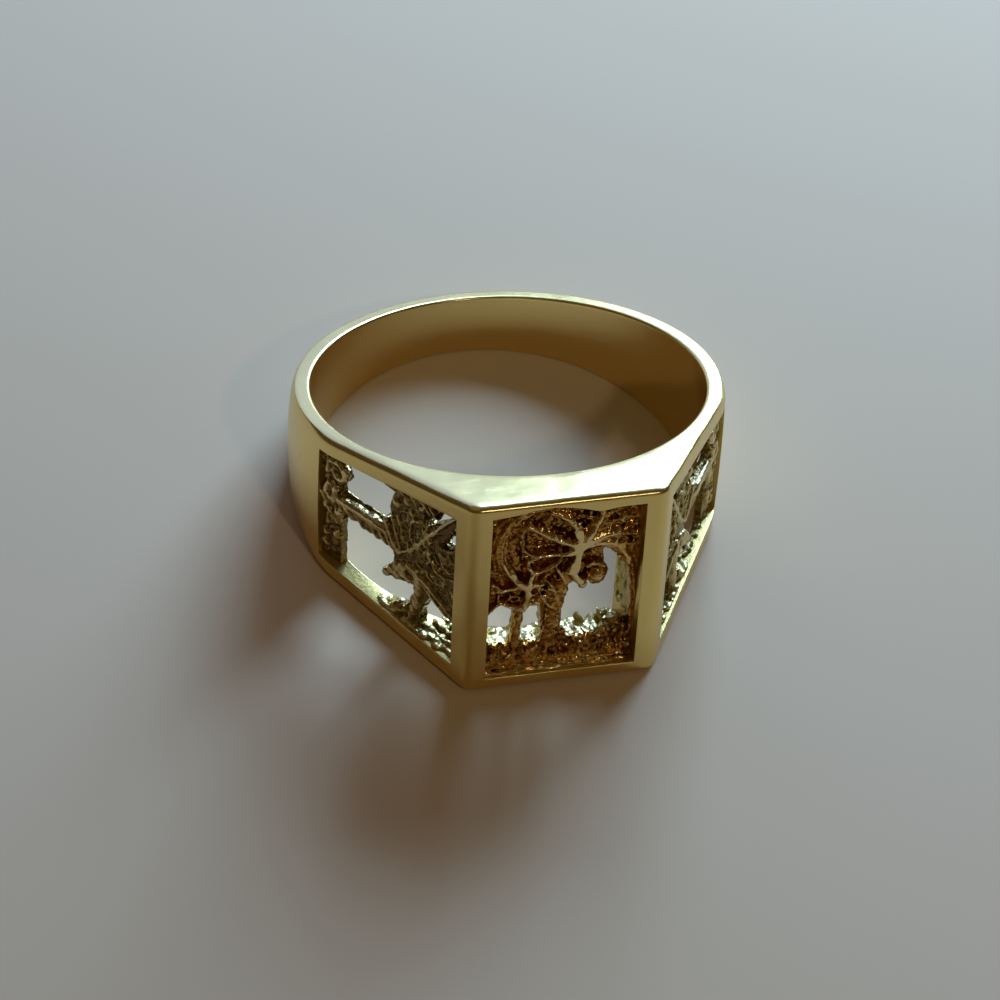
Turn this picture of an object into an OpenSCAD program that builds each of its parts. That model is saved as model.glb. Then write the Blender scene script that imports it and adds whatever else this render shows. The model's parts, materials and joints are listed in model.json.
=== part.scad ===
// Signet style finger ring, one casting. A tapered band carries a flat front
// and two flat shoulders, and each has a sunk window with palm trees in raised
// relief, pierced through between the trunks and fronds.
// The ring rests on its lower side face, so its bore leans back by side_slope.

/* [Band] */
// Radius of the finger hole
finger_r = 9.5; // [9.3:0.1:9.6]
// Outer radius of the shank at the middle of its width
shank_r = 10.55; // [10.5:0.05:10.7]
// Bulge of the shank's outside between its rounded edges
shank_dome = 0.15; // [0.05:0.05:0.2]
// How far the shank's edges round inwards
shank_edge_in = 0.35; // [0.2:0.05:0.4]
// How far the shank's edges round down its width
shank_edge_down = 0.5; // [0.3:0.05:0.6]
// Half of the band's width at the bore's axis
half_width = 3.32; // [3.2:0.02:3.4]
// Slope of each side face, which widens the band towards the front
side_slope = 10; // [9:0.5:10.5]

/* [Head] */
// Half of the flat front's width, corner to corner
front_half = 4.52; // [4.4:0.02:4.6]
// Distance from the bore's axis to the flat front
front_reach = 12.08; // [12:0.02:12.2]
// Turn from the front to each flat shoulder
shoulder_turn = 57.6; // [57:0.1:58]
// Radius of the upright corners beside the front
corner_r = 0.8; // [0.4:0.1:1]
// Rounding of the edges round the front and shoulders
head_edge = 0.3; // [0.15:0.05:0.4]

/* [Windows] */
// Half of the front window's width
front_win_half = 3.59; // [3.4:0.01:3.65]
// Half of the front window's height
front_win_rise = 4.7; // [4.5:0.05:4.75]
// Start of a shoulder window, measured from the corner
side_win_near = 1.04; // [1:0.01:1.2]
// End of a shoulder window, measured from the corner
side_win_far = 10.17; // [10:0.01:10.2]
// Half of a shoulder window's height beside the head
side_win_rise_near = 4.27; // [4.1:0.01:4.3]
// Half of a shoulder window's height beside the shank
side_win_rise_far = 3.09; // [2.9:0.01:3.1]
// Depth of the front window's sunk ground below the front
front_sink = 0.95; // [0.8:0.05:1]
// Depth of a shoulder window's sunk ground
side_sink = 0.42; // [0.35:0.01:0.45]
// Thickness of the pierced screen left behind each sunk ground
screen_t = 0.7; // [0.6:0.05:0.8]
// Number of grass tufts along the front window's foot
tuft_count = 11; // [6:1:14]

/* [Hidden] */
gold = "#b89b55";
far = 30;
skin = 0.06;
shank_step = 6;
corner_steps = 5;
ridge_steps = 6;
bore_overlap = 0.5;
// Hollow behind the front screen, and how deep all hollows are cut towards the bore
hollow_half = 3.3;
hollow_low = -4.05;
hollow_high = 4.15;
hollow_reach = 4;
// Start of a shoulder's hollow at the back of its screen, and the slant of the corner post's flank there
side_hollow_near = 1.6;
post_flank = 35;
// Cuts reach this far past the face, and gaps this far past both sides of their screen
clearance = 1;
front_gap_extra = 0.3;
side_gap_extra = 0.2;
// Rounding of the corners of gaps and windows
gap_round = 0.25;
side_win_round = 0.3;
front_win_round = 0.15;
// Ribs reach into the screen, each to its own depth so that no two feet share a plane
front_foot = 0.35;
front_foot_step = 0.01;
side_foot = 0.2;
side_foot_step = 0.008;
// Outline of the grassy bank from its front foot to its back, as height and depth
bank_profile = [[-5.0, -0.4], [-4.45, -0.4], [-3.5, -1.25], [-3.45, -1.6], [-3.7, -1.9], [-5.0, -1.9]];
bank_overlap = 0.2;
tuft_root = [-3.95, -1.05];
tuft_stagger = 0.12;
tuft_rise = 75;
tuft_spread = 22;
tuft_length = 0.9;
tuft_base_r = 0.34;
tuft_tip_r = 0.05;
shoulder_reach = front_reach * cos(shoulder_turn) + front_half * sin(shoulder_turn);
shoulder_end = acos(shoulder_reach / shank_r) - 90 + shoulder_turn;
rest_lift = half_width * cos(side_slope);
// How far the resting ring reaches along Y, with the origin midway between
rest_reach = [for (s = all_stations(), p = section(s)) p[1] * cos(side_slope) + p[2] * sin(side_slope)];
centre_shift = -(min(rest_reach) + max(rest_reach)) / 2;

// Columns of the relief tables: start u, v, bend u, v, tip u, v,
// half width at start and tip, depth of the crest at start and tip.
START = [0, 1];
BEND = [2, 3];
TIP = [4, 5];
WIDTHS = [6, 7];
CRESTS = [8, 9];

front_ridges = [
    // Trunks of the near palm and the far palm
    [-0.30, -3.9, -0.75, -1.0, 0.50, 2.30, 0.46, 0.30, 0.35, 0.20],
    [-2.40, -3.9, -2.25, -1.5, -1.80, 0.30, 0.34, 0.22, 0.40, 0.30],
    // Fronds of the near palm
    [0.55, 2.45, -0.40, 3.00, -1.85, 3.95, 0.22, 0.10, 0.12, 0.30],
    [0.60, 2.60, 0.70, 4.00, -0.85, 4.62, 0.22, 0.10, 0.12, 0.35],
    [0.85, 2.55, 1.00, 3.50, 1.80, 4.20, 0.20, 0.09, 0.12, 0.35],
    [0.90, 2.45, 1.60, 2.85, 2.60, 2.95, 0.18, 0.08, 0.12, 0.35],
    [0.85, 2.30, 2.75, 2.95, 3.20, 0.55, 0.36, 0.14, 0.12, 0.40],
    [0.45, 2.05, -1.90, 2.25, -1.65, 1.30, 0.20, 0.15, 0.15, 0.25],
    [0.35, 1.75, 0.25, 0.95, 0.95, 0.42, 0.26, 0.16, 0.15, 0.35],
    [-1.68, 1.45, -1.40, 0.60, -0.30, 1.35, 0.16, 0.10, 0.24, 0.30],
    // Arching fronds of the far palm
    [-1.50, 1.90, -3.10, 3.20, -1.80, 4.05, 0.15, 0.09, 0.28, 0.45],
    [-1.80, 0.35, -3.55, 1.50, -3.08, 3.10, 0.26, 0.26, 0.22, 0.30],
    [-3.10, 2.90, -2.80, 5.15, -0.40, 4.86, 0.26, 0.26, 0.30, 0.25],
    [-0.60, 4.88, 1.00, 4.95, 1.85, 4.30, 0.26, 0.12, 0.24, 0.40],
    [-1.70, 0.40, -0.80, 0.80, -0.20, -0.30, 0.22, 0.12, 0.22, 0.40],
    [-1.75, 0.10, -1.05, -0.30, -0.25, -1.55, 0.20, 0.12, 0.26, 0.35],
    [-1.85, 0.35, -2.80, 0.95, -3.50, 0.30, 0.22, 0.12, 0.26, 0.40],
    [-1.90, 0.10, -2.55, -0.50, -3.50, -0.85, 0.20, 0.12, 0.30, 0.45],
];

// Columns: u, v, radius, depth of the centre
front_nuts = [
    [1.55, 1.02, 0.52, 0.80],
    [0.88, 0.45, 0.27, 0.62],
    [0.74, 2.97, 0.25, 0.42],
    [1.15, 1.90, 0.24, 0.45],
    [-2.25, 0.42, 0.22, 0.45],
    [-2.12, -0.28, 0.24, 0.50],
    [-1.48, -0.25, 0.22, 0.48],
    [-2.78, 0.00, 0.30, 0.72],
];

// Gaps between the trunks of the front window, from the sunk ground down to the bank
front_gaps = [
    [
        [0.36, 0.62], [0.70, 0.55], [1.30, 0.62], [1.90, 0.80], [1.84, 1.70], [1.95, 2.08],
        [2.55, 1.62], [2.98, 0.75], [3.12, -0.40], [3.14, -2.00], [3.10, -3.60], [0.20, -3.60],
        [0.12, -1.70], [0.30, -0.80],
    ],
    [
        [-1.85, -1.00], [-1.45, -0.62], [-1.00, -0.82], [-0.88, -1.80], [-0.72, -3.60], [-2.02, -3.60],
        [-1.94, -2.00],
    ],
    [[-2.98, -0.62], [-2.52, -0.60], [-2.44, -1.60], [-2.66, -3.60], [-3.42, -3.60], [-3.42, -1.35]],
];

side_ridges = [
    // Trunk lying along the shoulder, root towards the shank
    [10.30, 0.62, 7.40, 0.70, 4.70, 0.42, 0.66, 0.50, 0.16, 0.12],
    // Fronds
    [5.25, -0.42, 3.40, 0.80, 1.05, 3.80, 0.26, 0.18, 0.10, 0.20],
    [4.70, 0.60, 6.05, 2.30, 4.90, 3.55, 0.34, 0.24, 0.10, 0.22],
    [4.30, 0.80, 2.55, 2.60, 3.70, 3.68, 0.26, 0.20, 0.10, 0.22],
    [4.20, -0.30, 5.00, -0.60, 5.60, -1.72, 0.34, 0.18, 0.10, 0.22],
    [4.30, -0.25, 2.30, 0.05, 1.45, -1.60, 0.34, 0.20, 0.10, 0.24],
    [3.40, -0.50, 3.20, -2.50, 5.25, -3.60, 0.32, 0.28, 0.12, 0.20],
    [1.00, 1.85, 1.50, 0.20, 2.80, 1.15, 0.20, 0.14, 0.20, 0.22],
    [3.60, 0.10, 2.20, 0.90, 0.95, 0.20, 0.24, 0.16, 0.14, 0.22],
    [3.90, 3.30, 2.90, 3.80, 2.70, 2.60, 0.18, 0.14, 0.16, 0.24],
    // Broken ground at the palm's root
    [8.75, 3.20, 9.20, 2.00, 10.30, 1.90, 0.26, 0.20, 0.15, 0.20],
    [10.30, 2.80, 9.60, 2.60, 9.30, 1.50, 0.22, 0.16, 0.16, 0.24],
    [8.75, -0.20, 9.00, -1.20, 10.30, -0.90, 0.34, 0.22, 0.14, 0.20],
    [8.80, -2.90, 9.10, -1.60, 10.30, -2.10, 0.30, 0.20, 0.16, 0.22],
];

side_nuts = [
    [4.15, 2.35, 0.55, 0.42],
    [3.55, 1.72, 0.34, 0.34],
    [5.02, 2.30, 0.34, 0.34],
    [4.30, 1.45, 0.38, 0.34],
    [2.25, 2.45, 0.28, 0.34],
    [9.05, -0.30, 0.42, 0.40],
];

side_gaps = [
    // Above the trunk
    [[5.12, 3.85], [8.62, 3.42], [8.62, 1.42], [8.20, 1.16], [5.52, 1.12], [5.30, 1.50], [5.60, 2.20]],
    // Below the trunk
    [
        [5.45, 0.02], [8.10, 0.12], [8.72, -0.60], [8.72, -3.60], [5.40, -3.95], [4.55, -2.95],
        [3.78, -2.05], [3.92, -1.52], [4.40, -1.62], [5.40, -2.00], [5.78, -1.70], [5.35, -0.95],
    ],
    // Between the long frond and the corner post
    [[1.04, 4.60], [2.58, 4.40], [2.62, 2.98], [2.38, 3.08], [1.25, 4.10]],
    [[1.04, 3.55], [1.40, 3.00], [1.72, 2.42], [1.04, 2.62]],
    // Over the lower edge, beside the corner post
    [
        [2.50, -1.15], [2.10, -1.95], [1.15, -2.30], [1.15, -4.60], [3.45, -4.30], [3.35, -3.00],
        [2.92, -2.00],
    ],
];

function half_width_at(y) = half_width - tan(side_slope) * y;
function turned(angle) = [cos(angle), sin(angle)];
function pick(row, columns) = [for (c = columns) row[c]];
function along(a, b, t) = a + (b - a) * t;
function curve_at(a, b, c, t) = along(along(a, b, t), along(b, c, t), t);
function direction(v) = v / norm(v);
function normal_of(v) = [-v[1], v[0]];

// The upper edge of the front window swells over the arching frond
function front_win_top(x) =
    front_win_rise + 0.34 * exp(-pow((x + 0.9) / 1.5, 2)) - 0.16 * exp(-pow((x - 1.45) / 0.6, 2));

// A point list with each corner replaced by a short curve
function soft_corner(before, here, after, cut) =
    let (
        cut_in = min(cut, 0.42 * norm(before - here)),
        cut_out = min(cut, 0.42 * norm(after - here)),
        entry = here + direction(before - here) * cut_in,
        leave = here + direction(after - here) * cut_out
    ) [for (t = [0, 0.5, 1]) curve_at(entry, here, leave, t)];
function softened(points, cut) =
    let (n = len(points)) [
        for (i = [0:n - 1]) each soft_corner(points[(i + n - 1) % n], points[i], points[(i + 1) % n], cut)
    ];

// Stations round the right half of the band: outline point, inward direction,
// edge rounding inwards and down, and dome.
function corner_station(turn) =
    let (
        centre = [front_half - corner_r * tan(shoulder_turn / 2), corner_r - front_reach],
        inwards = turned(turn + 90)
    ) [centre - corner_r * inwards, inwards, head_edge, head_edge, 0];
function shank_station(angle) = [
    (shank_r - shank_dome) * turned(angle), -turned(angle), shank_edge_in - shank_dome, shank_edge_down,
    shank_dome
];
function shoulder_station() = [
    shank_r * turned(shoulder_end), -turned(shoulder_end - 5), head_edge,
    (head_edge + shank_edge_down) / 2, 0
];
function right_stations() =
    let (steps = round((90 - shoulder_end) / shank_step)) concat(
        [for (i = [0:corner_steps]) corner_station(shoulder_turn * i / corner_steps)],
        [shoulder_station()],
        [for (i = [1:steps]) shank_station(along(shoulder_end, 90, i / steps))]
    );
function mirrored(station) = [
    [-station[0][0], station[0][1]], [-station[1][0], station[1][1]], station[2], station[3], station[4]
];
function all_stations() =
    let (right = right_stations(), n = len(right))
        concat(right, [for (i = [n - 2:-1:0]) mirrored(right[i])]);

// One cross-section: up the outside, then down inside the bore
function edge_point(station, side, angle) =
    let (
        inset = station[2] * (1 - cos(angle)),
        drop = station[3] * (1 - sin(angle)),
        p = station[0] + station[1] * inset
    ) [p[0], p[1], side * (half_width_at(p[1]) + skin - drop)];
function inner_point(station, side) =
    let (p = direction(station[0]) * (finger_r - bore_overlap))
        [p[0], p[1], side * (half_width_at(p[1]) + skin)];
function middle_point(station) =
    let (p = station[0] - station[1] * station[4]) [p[0], p[1], 0];
function section(station) = concat(
    [for (angle = [90, 45, 0]) edge_point(station, -1, angle)],
    [middle_point(station)],
    [for (angle = [0, 45, 90]) edge_point(station, 1, angle)],
    [inner_point(station, 1), inner_point(station, -1)]
);

// A closed loop of sections as one skin
module looped_skin(sections) {
    n = len(sections);
    m = len(sections[0]);
    polyhedron(
        points = [for (s = sections) each s],
        faces = [
            for (i = [0:n - 1], j = [0:m - 1])
                let (
                    next = (j + 1) % m,
                    a = i * m + j,
                    b = i * m + next,
                    c = (i + 1) % n * m + j,
                    d = (i + 1) % n * m + next
                ) each [[a, b, c], [b, d, c]]
        ]
    );
}

// A raised rib on a sunk ground: a bent strip with a crest along its middle
function ridge_section(row, t, foot) =
    let (
        start = pick(row, START),
        bend = pick(row, BEND),
        tip = pick(row, TIP),
        p = curve_at(start, bend, tip, t),
        ahead = direction(along(bend - start, tip - bend, t)),
        side = normal_of(ahead),
        w = along(row[WIDTHS[0]], row[WIDTHS[1]], t),
        crest = along(row[CRESTS[0]], row[CRESTS[1]], t),
        brow = crest + 0.5 * w,
        corners = [[-1, foot], [-1, brow], [0, crest], [1, brow], [1, foot]]
    ) [for (c = corners) [each (p + side * w * c[0]), -c[1]]];
module ridge(row, foot) {
    sections = [for (i = [0:ridge_steps]) ridge_section(row, i / ridge_steps, foot)];
    n = len(sections);
    m = len(sections[0]);
    polyhedron(
        points = [for (s = sections) each s],
        faces = concat(
            [[for (j = [m - 1:-1:0]) j]],
            [[for (j = [0:m - 1]) (n - 1) * m + j]],
            [
                for (i = [0:n - 2], j = [0:m - 1])
                    let (a = i * m + j, b = i * m + (j + 1) % m, c = a + m, d = b + m)
                        each [[a, b, c], [b, d, c]]
            ]
        )
    );
}

module on_front() {
    translate([0, -front_reach, 0])
        rotate([90, 0, 0])
            children();
}

module on_shoulder() {
    translate([front_half, -front_reach, 0])
        rotate([0, 0, shoulder_turn])
            rotate([90, 0, 0])
                children();
}

module both_shoulders() {
    on_shoulder() children();
    mirror([1, 0, 0])
        on_shoulder() children();
}

// A prism from one depth below the panel's face to another
module sunk(from, to) {
    translate([0, 0, -to])
        linear_extrude(height = to - from)
            children();
}

module side_faces() {
    rotate([90, 0, 90])
        linear_extrude(height = 2 * far, center = true)
            polygon([
                [-far, -half_width_at(-far)], [far / 2, -half_width_at(far / 2)],
                [far / 2, half_width_at(far / 2)], [-far, half_width_at(-far)],
            ]);
}

module band() {
    intersection() {
        looped_skin([for (s = all_stations()) section(s)]);
        side_faces();
    }
}

module front_outline() {
    reach = front_win_half - front_win_round;
    tops = [for (i = [-8:8]) let (x = reach * i / 8) [x, front_win_top(x)]];
    corners = [
        [front_win_half, front_win_top(reach) - front_win_round],
        [front_win_half, -front_win_rise],
        [-front_win_half, -front_win_rise],
        [-front_win_half, front_win_top(-reach) - front_win_round],
    ];
    polygon(concat(tops, corners));
}

module side_outline() {
    polygon(softened([
        [side_win_near, side_win_rise_near], [side_win_near, -side_win_rise_near],
        [side_win_far, -side_win_rise_far], [side_win_far, side_win_rise_far],
    ], side_win_round));
}

module front_cuts() {
    sunk(-clearance, front_sink) front_outline();
    // Hollow behind the screen, open to the bore
    sunk(front_sink + screen_t, hollow_reach)
        translate([-hollow_half, hollow_low])
            square([2 * hollow_half, hollow_high - hollow_low]);
    for (gap = front_gaps)
        sunk(front_sink - front_gap_extra, front_sink + screen_t + front_gap_extra)
            polygon(softened(gap, gap_round));
}

// Hollow behind a shoulder's screen, open to the bore, with a slanted flank on the corner post
module side_hollow() {
    start = side_sink + screen_t;
    flank_end = side_hollow_near + (hollow_reach - start) * tan(post_flank);
    intersection() {
        sunk(start, hollow_reach) side_outline();
        rotate([90, 0, 0])
            linear_extrude(height = 2 * far, center = true)
                polygon([
                    [side_hollow_near, -start], [flank_end, -hollow_reach],
                    [side_win_far + clearance, -hollow_reach], [side_win_far + clearance, -start],
                ]);
    }
}

module side_cuts() {
    sunk(-clearance, side_sink) side_outline();
    side_hollow();
    for (gap = side_gaps)
        intersection() {
            sunk(side_sink - side_gap_extra, side_sink + screen_t + side_gap_extra)
                polygon(softened(gap, gap_round));
            sunk(-clearance, hollow_reach) side_outline();
        }
}

// Round nuts, from a table of their places and sizes
module nuts(table) {
    for (row = table)
        translate([row[0], row[1], -row[3]])
            sphere(r = row[2], $fn = 24);
}

module front_relief() {
    for (i = [0:len(front_ridges) - 1])
        ridge(front_ridges[i], front_sink + front_foot + front_foot_step * i);
    nuts(front_nuts);
    front_bank();
    front_tufts();
}

// Grassy bank along the foot of the front window
module front_bank() {
    rotate([0, 90, 0])
        rotate([0, 0, 90])
            linear_extrude(height = 2 * (front_win_half + bank_overlap), center = true)
                polygon(bank_profile);
}

// Pointed tufts in a row on the bank, leaning in turn to the left and right
module front_tufts() {
    pitch = 2 * hollow_half / tuft_count;
    for (i = [0:tuft_count - 1])
        translate([pitch * (i + 0.5) - hollow_half, tuft_root[0] + tuft_stagger * (i % 3), tuft_root[1]])
            rotate([-tuft_rise, 0, tuft_spread * (1 - i % 3)])
                cylinder(h = tuft_length, r1 = tuft_base_r, r2 = tuft_tip_r, $fn = 5);
}

module side_relief() {
    for (i = [0:len(side_ridges) - 1])
        ridge(side_ridges[i], side_sink + side_foot + side_foot_step * i);
    nuts(side_nuts);
}

module finger_hole() {
    cylinder(r = finger_r, h = 2 * far, center = true, $fn = 96);
}

module ring() {
    color(gold)
        translate([0, centre_shift, rest_lift])
            rotate([-side_slope, 0, 0])
                difference() {
                    union() {
                        difference() {
                            band();
                            on_front() front_cuts();
                            both_shoulders() side_cuts();
                        }
                        on_front() front_relief();
                        both_shoulders() side_relief();
                    }
                    finger_hole();
                }
}

ring();
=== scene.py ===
"""Looks of the palm tree signet ring: a buffed gold band with three windows of cast relief.

Lengths are in millimetres in the ring's own frame, with the bore along Z and the flat front
towards -Y. Each finished mesh is laid into the part's frame, in metres, as its last step.
"""

import json
import math
import random

import bmesh
import bpy
import numpy as np
from mathutils import Matrix, Vector, noise


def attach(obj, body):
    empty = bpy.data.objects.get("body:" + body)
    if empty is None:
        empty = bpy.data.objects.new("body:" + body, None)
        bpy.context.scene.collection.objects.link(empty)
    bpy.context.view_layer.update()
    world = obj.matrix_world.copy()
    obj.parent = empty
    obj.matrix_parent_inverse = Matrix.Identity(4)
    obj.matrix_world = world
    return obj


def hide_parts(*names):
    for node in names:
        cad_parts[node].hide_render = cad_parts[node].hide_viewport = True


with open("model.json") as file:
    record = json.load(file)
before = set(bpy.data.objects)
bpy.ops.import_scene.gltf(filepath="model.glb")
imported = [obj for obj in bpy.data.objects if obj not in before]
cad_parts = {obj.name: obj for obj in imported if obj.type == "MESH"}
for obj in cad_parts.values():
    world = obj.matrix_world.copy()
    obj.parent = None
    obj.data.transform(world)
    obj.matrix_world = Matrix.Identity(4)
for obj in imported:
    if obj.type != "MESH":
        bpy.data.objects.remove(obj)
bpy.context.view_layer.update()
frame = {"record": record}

MM = 0.001

# Band, as in the solid
FINGER_R = 9.5
SHANK_R = 10.55
SHANK_DOME = 0.15
SHANK_EDGE_DOWN = 0.5
HALF_WIDTH = 3.32
SIDE_SLOPE = math.radians(10)
RIM_R = 0.14

# Head, as in the solid
FRONT_HALF = 4.52
FRONT_REACH = 12.08
SHOULDER_TURN = math.radians(57.6)
CORNER_R = 0.8
BLEND_R = 7.0

# Windows, as in the solid
FRONT_WIN_HALF = 3.59
FRONT_WIN_LOW = -4.7
FRONT_WIN_TOP = 4.7
SIDE_WIN_NEAR = 1.04
SIDE_WIN_FAR = 10.17
SIDE_WIN_RISE_NEAR = 4.27
SIDE_WIN_RISE_FAR = 3.09
FRONT_SINK = 0.95
SIDE_SINK = 0.42
SCREEN_T = 0.7
HOLLOW_HALF = 3.3
HOLLOW_LOW = -4.05
HOLLOW_HIGH = 4.15

# Rounded edges, set more closely to the photo than the solid's, and uneven on the worn head
SHANK_EDGE_IN = 0.2
LEAST_EDGE_IN = 0.08
HEAD_EDGE_IN = 0.5
HEAD_EDGE_DOWN = 0.32
HEAD_WEAR = 0.28
WEAR_LENGTH = 1.3
WEAR_LEVEL = 3.0

# Hollows behind the shoulder windows, narrower than the solid's, with a slightly sloping sill
SIDE_HOLLOW_NEAR = 2.5
SIDE_HOLLOW_FAR = 9.2
SILL_LIFT = 0.05
HOLLOW_DROP = 0.15

# The most of the way to the bore that a window's straight walls take
WALL_SHARE = 0.75

# On the shank the window rows keep the share of the width that they have at this place
ROWS_FROM_Y = -3.0

# Bevels of the windows' edges on the face and at the bore
FACE_BEVEL = 0.10
BORE_BEVEL = 0.07
BEVEL_STEPS = 3

# Faces this near the bore or the band's face are burnished or buffed with it
BORE_SKIN = 0.02
FACE_SKIN = 0.08

SHARP_TURN = math.radians(40)


def bore_place():
    """The matrix that lays the ring's own frame into the part's frame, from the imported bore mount."""
    mount = next(m for m in frame["record"]["mounts"] if m["kind"] == "bore")
    turn = Vector((0, 0, 1)).rotation_difference(Vector(mount["axis"])).to_matrix().to_4x4()
    return Matrix.Translation(mount["pos_m"]) @ turn @ Matrix.Scale(MM, 4)


RING_TO_PART = bore_place()


def along(a, b, t):
    return a + (b - a) * t


def smooth_step(t):
    t = min(max(t, 0.0), 1.0)
    return t * t * (3 - 2 * t)


def half_width_at(y):
    return HALF_WIDTH - math.tan(SIDE_SLOPE) * y


def front_win_top(x):
    """The front window's upper edge swells over the arching frond."""
    swell = 0.34 * math.exp(-((x + 0.9) / 1.5) ** 2)
    dip = 0.16 * math.exp(-((x - 1.45) / 0.6) ** 2)
    return FRONT_WIN_TOP + swell - dip


def side_win_rise(s):
    """How far a shoulder window reaches above and below its middle line."""
    t = (s - SIDE_WIN_NEAR) / (SIDE_WIN_FAR - SIDE_WIN_NEAR)
    return along(SIDE_WIN_RISE_NEAR, SIDE_WIN_RISE_FAR, t)


# The plan outline of the right half is a chain of lines and arcs that meet without a kink
CORNER_SPAN = CORNER_R * math.tan(SHOULDER_TURN / 2)
SHOULDER_DIR = Vector((math.cos(SHOULDER_TURN), math.sin(SHOULDER_TURN)))
SHOULDER_OUT = Vector((math.sin(SHOULDER_TURN), -math.cos(SHOULDER_TURN)))
FRONT_CORNER = Vector((FRONT_HALF, -FRONT_REACH))
SHOULDER_REACH = FRONT_CORNER.dot(SHOULDER_OUT)
BLEND_SIDE = math.sqrt((SHANK_R - BLEND_R) ** 2 - (SHOULDER_REACH - BLEND_R) ** 2)
BLEND_TURN = math.atan2(BLEND_SIDE, SHOULDER_REACH - BLEND_R)
BLEND_START = BLEND_SIDE - FRONT_CORNER.dot(SHOULDER_DIR)


class Station:
    """One place on the plan outline, with the section's sizes there."""

    def __init__(self, point, outward, blend=0.0, front_x=None, side_s=None):
        self.point = point
        self.outward = outward
        worn = HEAD_WEAR * noise.noise(Vector((point.x, point.y, WEAR_LEVEL)) / WEAR_LENGTH)
        self.edge_in = along(HEAD_EDGE_IN * (1 + worn), SHANK_EDGE_IN, blend)
        self.edge_down = along(HEAD_EDGE_DOWN * (1 - 0.5 * worn), SHANK_EDGE_DOWN, blend)
        self.dome = SHANK_DOME * blend
        self.front_x = front_x
        self.side_s = side_s
        self.bore_turn = 0.0
        self.flip = 1

    def mirrored(self):
        other = Station(self.point, self.outward)
        other.__dict__.update(self.__dict__)
        other.flip = -1
        return other


def front_station(x):
    return Station(Vector((x, -FRONT_REACH)), Vector((0, -1)), front_x=x)


def corner_station(t):
    centre = Vector((FRONT_HALF - CORNER_SPAN, CORNER_R - FRONT_REACH))
    angle = SHOULDER_TURN * t
    outward = Vector((math.sin(angle), -math.cos(angle)))
    return Station(centre + outward * CORNER_R, outward)


def shoulder_station(s):
    """A place on the flat shoulder, or past its end on the arc that leads over to the shank."""
    sunk, outward = 0.0, SHOULDER_OUT
    if s > BLEND_START:
        turn = math.asin((s - BLEND_START) / BLEND_R)
        sunk = BLEND_R * (1 - math.cos(turn))
        outward = Matrix.Rotation(turn, 2) @ SHOULDER_OUT
        blend = smooth_step(turn / BLEND_TURN)
    else:
        blend = 0.0
    return Station(FRONT_CORNER + SHOULDER_DIR * s - SHOULDER_OUT * sunk, outward, blend, side_s=s)


def shank_station(angle):
    outward = Vector((math.cos(angle), math.sin(angle)))
    return Station(outward * SHANK_R, outward, blend=1.0)


def steps(a, b, n):
    """n values from a to b, without b itself."""
    return [along(a, b, i / n) for i in range(n)]


BLEND_END = BLEND_START + BLEND_R * math.sin(BLEND_TURN)
SHANK_START = SHOULDER_TURN - math.pi / 2 + BLEND_TURN

# How many stations each stretch has, and how far from its ends the extra ones stand
FRONT_STEPS = 16
CORNER_STEPS = 12
SHOULDER_STEPS = 24
BLEND_STEPS = 6
SHANK_STEPS = 44
SUPPORT = 0.09
PAST_CORNER = 0.05
PAST_WINDOW = 0.3


def right_stations():
    """Stations of the right half, from the middle of the front round to the back of the shank."""
    front = steps(0, FRONT_WIN_HALF, FRONT_STEPS) + [FRONT_WIN_HALF, FRONT_WIN_HALF + SUPPORT]
    shoulder = (
        [CORNER_SPAN + PAST_CORNER, SIDE_WIN_NEAR - SUPPORT]
        + steps(SIDE_WIN_NEAR, SIDE_WIN_FAR, SHOULDER_STEPS)
        + [SIDE_WIN_FAR, SIDE_WIN_FAR + SUPPORT]
        + steps(SIDE_WIN_FAR + PAST_WINDOW, BLEND_END, BLEND_STEPS)
    )
    return (
        [front_station(x) for x in front]
        + [corner_station(i / CORNER_STEPS) for i in range(CORNER_STEPS + 1)]
        + [shoulder_station(s) for s in shoulder]
        + [shank_station(a) for a in steps(SHANK_START, math.pi / 2, SHANK_STEPS) + [math.pi / 2]]
    )


def reach_to_bore(place, inward):
    """How far a line goes in from a place on the face before it meets the finger hole."""
    ahead = place.dot(inward)
    return -ahead - math.sqrt(ahead * ahead - place.length_squared + FINGER_R ** 2)


def bore_turn_of(place, inward):
    """How far round the bore a straight line from a window's edge meets the finger hole."""
    hit = place + inward * reach_to_bore(place, inward)
    return math.atan2(hit.x, -hit.y)


def set_bore_turns(stations):
    """Spreads the stations round the bore so that the hollows behind the windows run straight in."""
    front_edge = math.asin(HOLLOW_HALF / FINGER_R)
    near_edge = bore_turn_of(FRONT_CORNER + SHOULDER_DIR * SIDE_HOLLOW_NEAR, -SHOULDER_OUT)
    far_edge = bore_turn_of(FRONT_CORNER + SHOULDER_DIR * SIDE_HOLLOW_FAR, -SHOULDER_OUT)
    marks = {0: 0.0, len(stations) - 1: math.pi}
    for i, station in enumerate(stations):
        if station.front_x == FRONT_WIN_HALF:
            marks[i] = front_edge
        if station.side_s == SIDE_WIN_NEAR:
            marks[i] = near_edge
        if station.side_s == SIDE_WIN_FAR:
            marks[i] = far_edge
    known = sorted(marks)
    outer = [math.atan2(s.point.x, -s.point.y) for s in stations]
    for a, b in zip(known, known[1:]):
        for i in range(a, b + 1):
            t = (outer[i] - outer[a]) / (outer[b] - outer[a])
            stations[i].bore_turn = along(marks[a], marks[b], t)


def all_stations():
    right = right_stations()
    set_bore_turns(right)
    return right + [s.mirrored() for s in right[-2:0:-1]]


# Rows round the section: up the outside from the window's foot, down the bore and back out below
FLAT_ROWS = 5
WIN_ROWS = 12
EDGE_ROWS = 8
FACE_ROWS = 5
RIM_ROWS = 4


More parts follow.
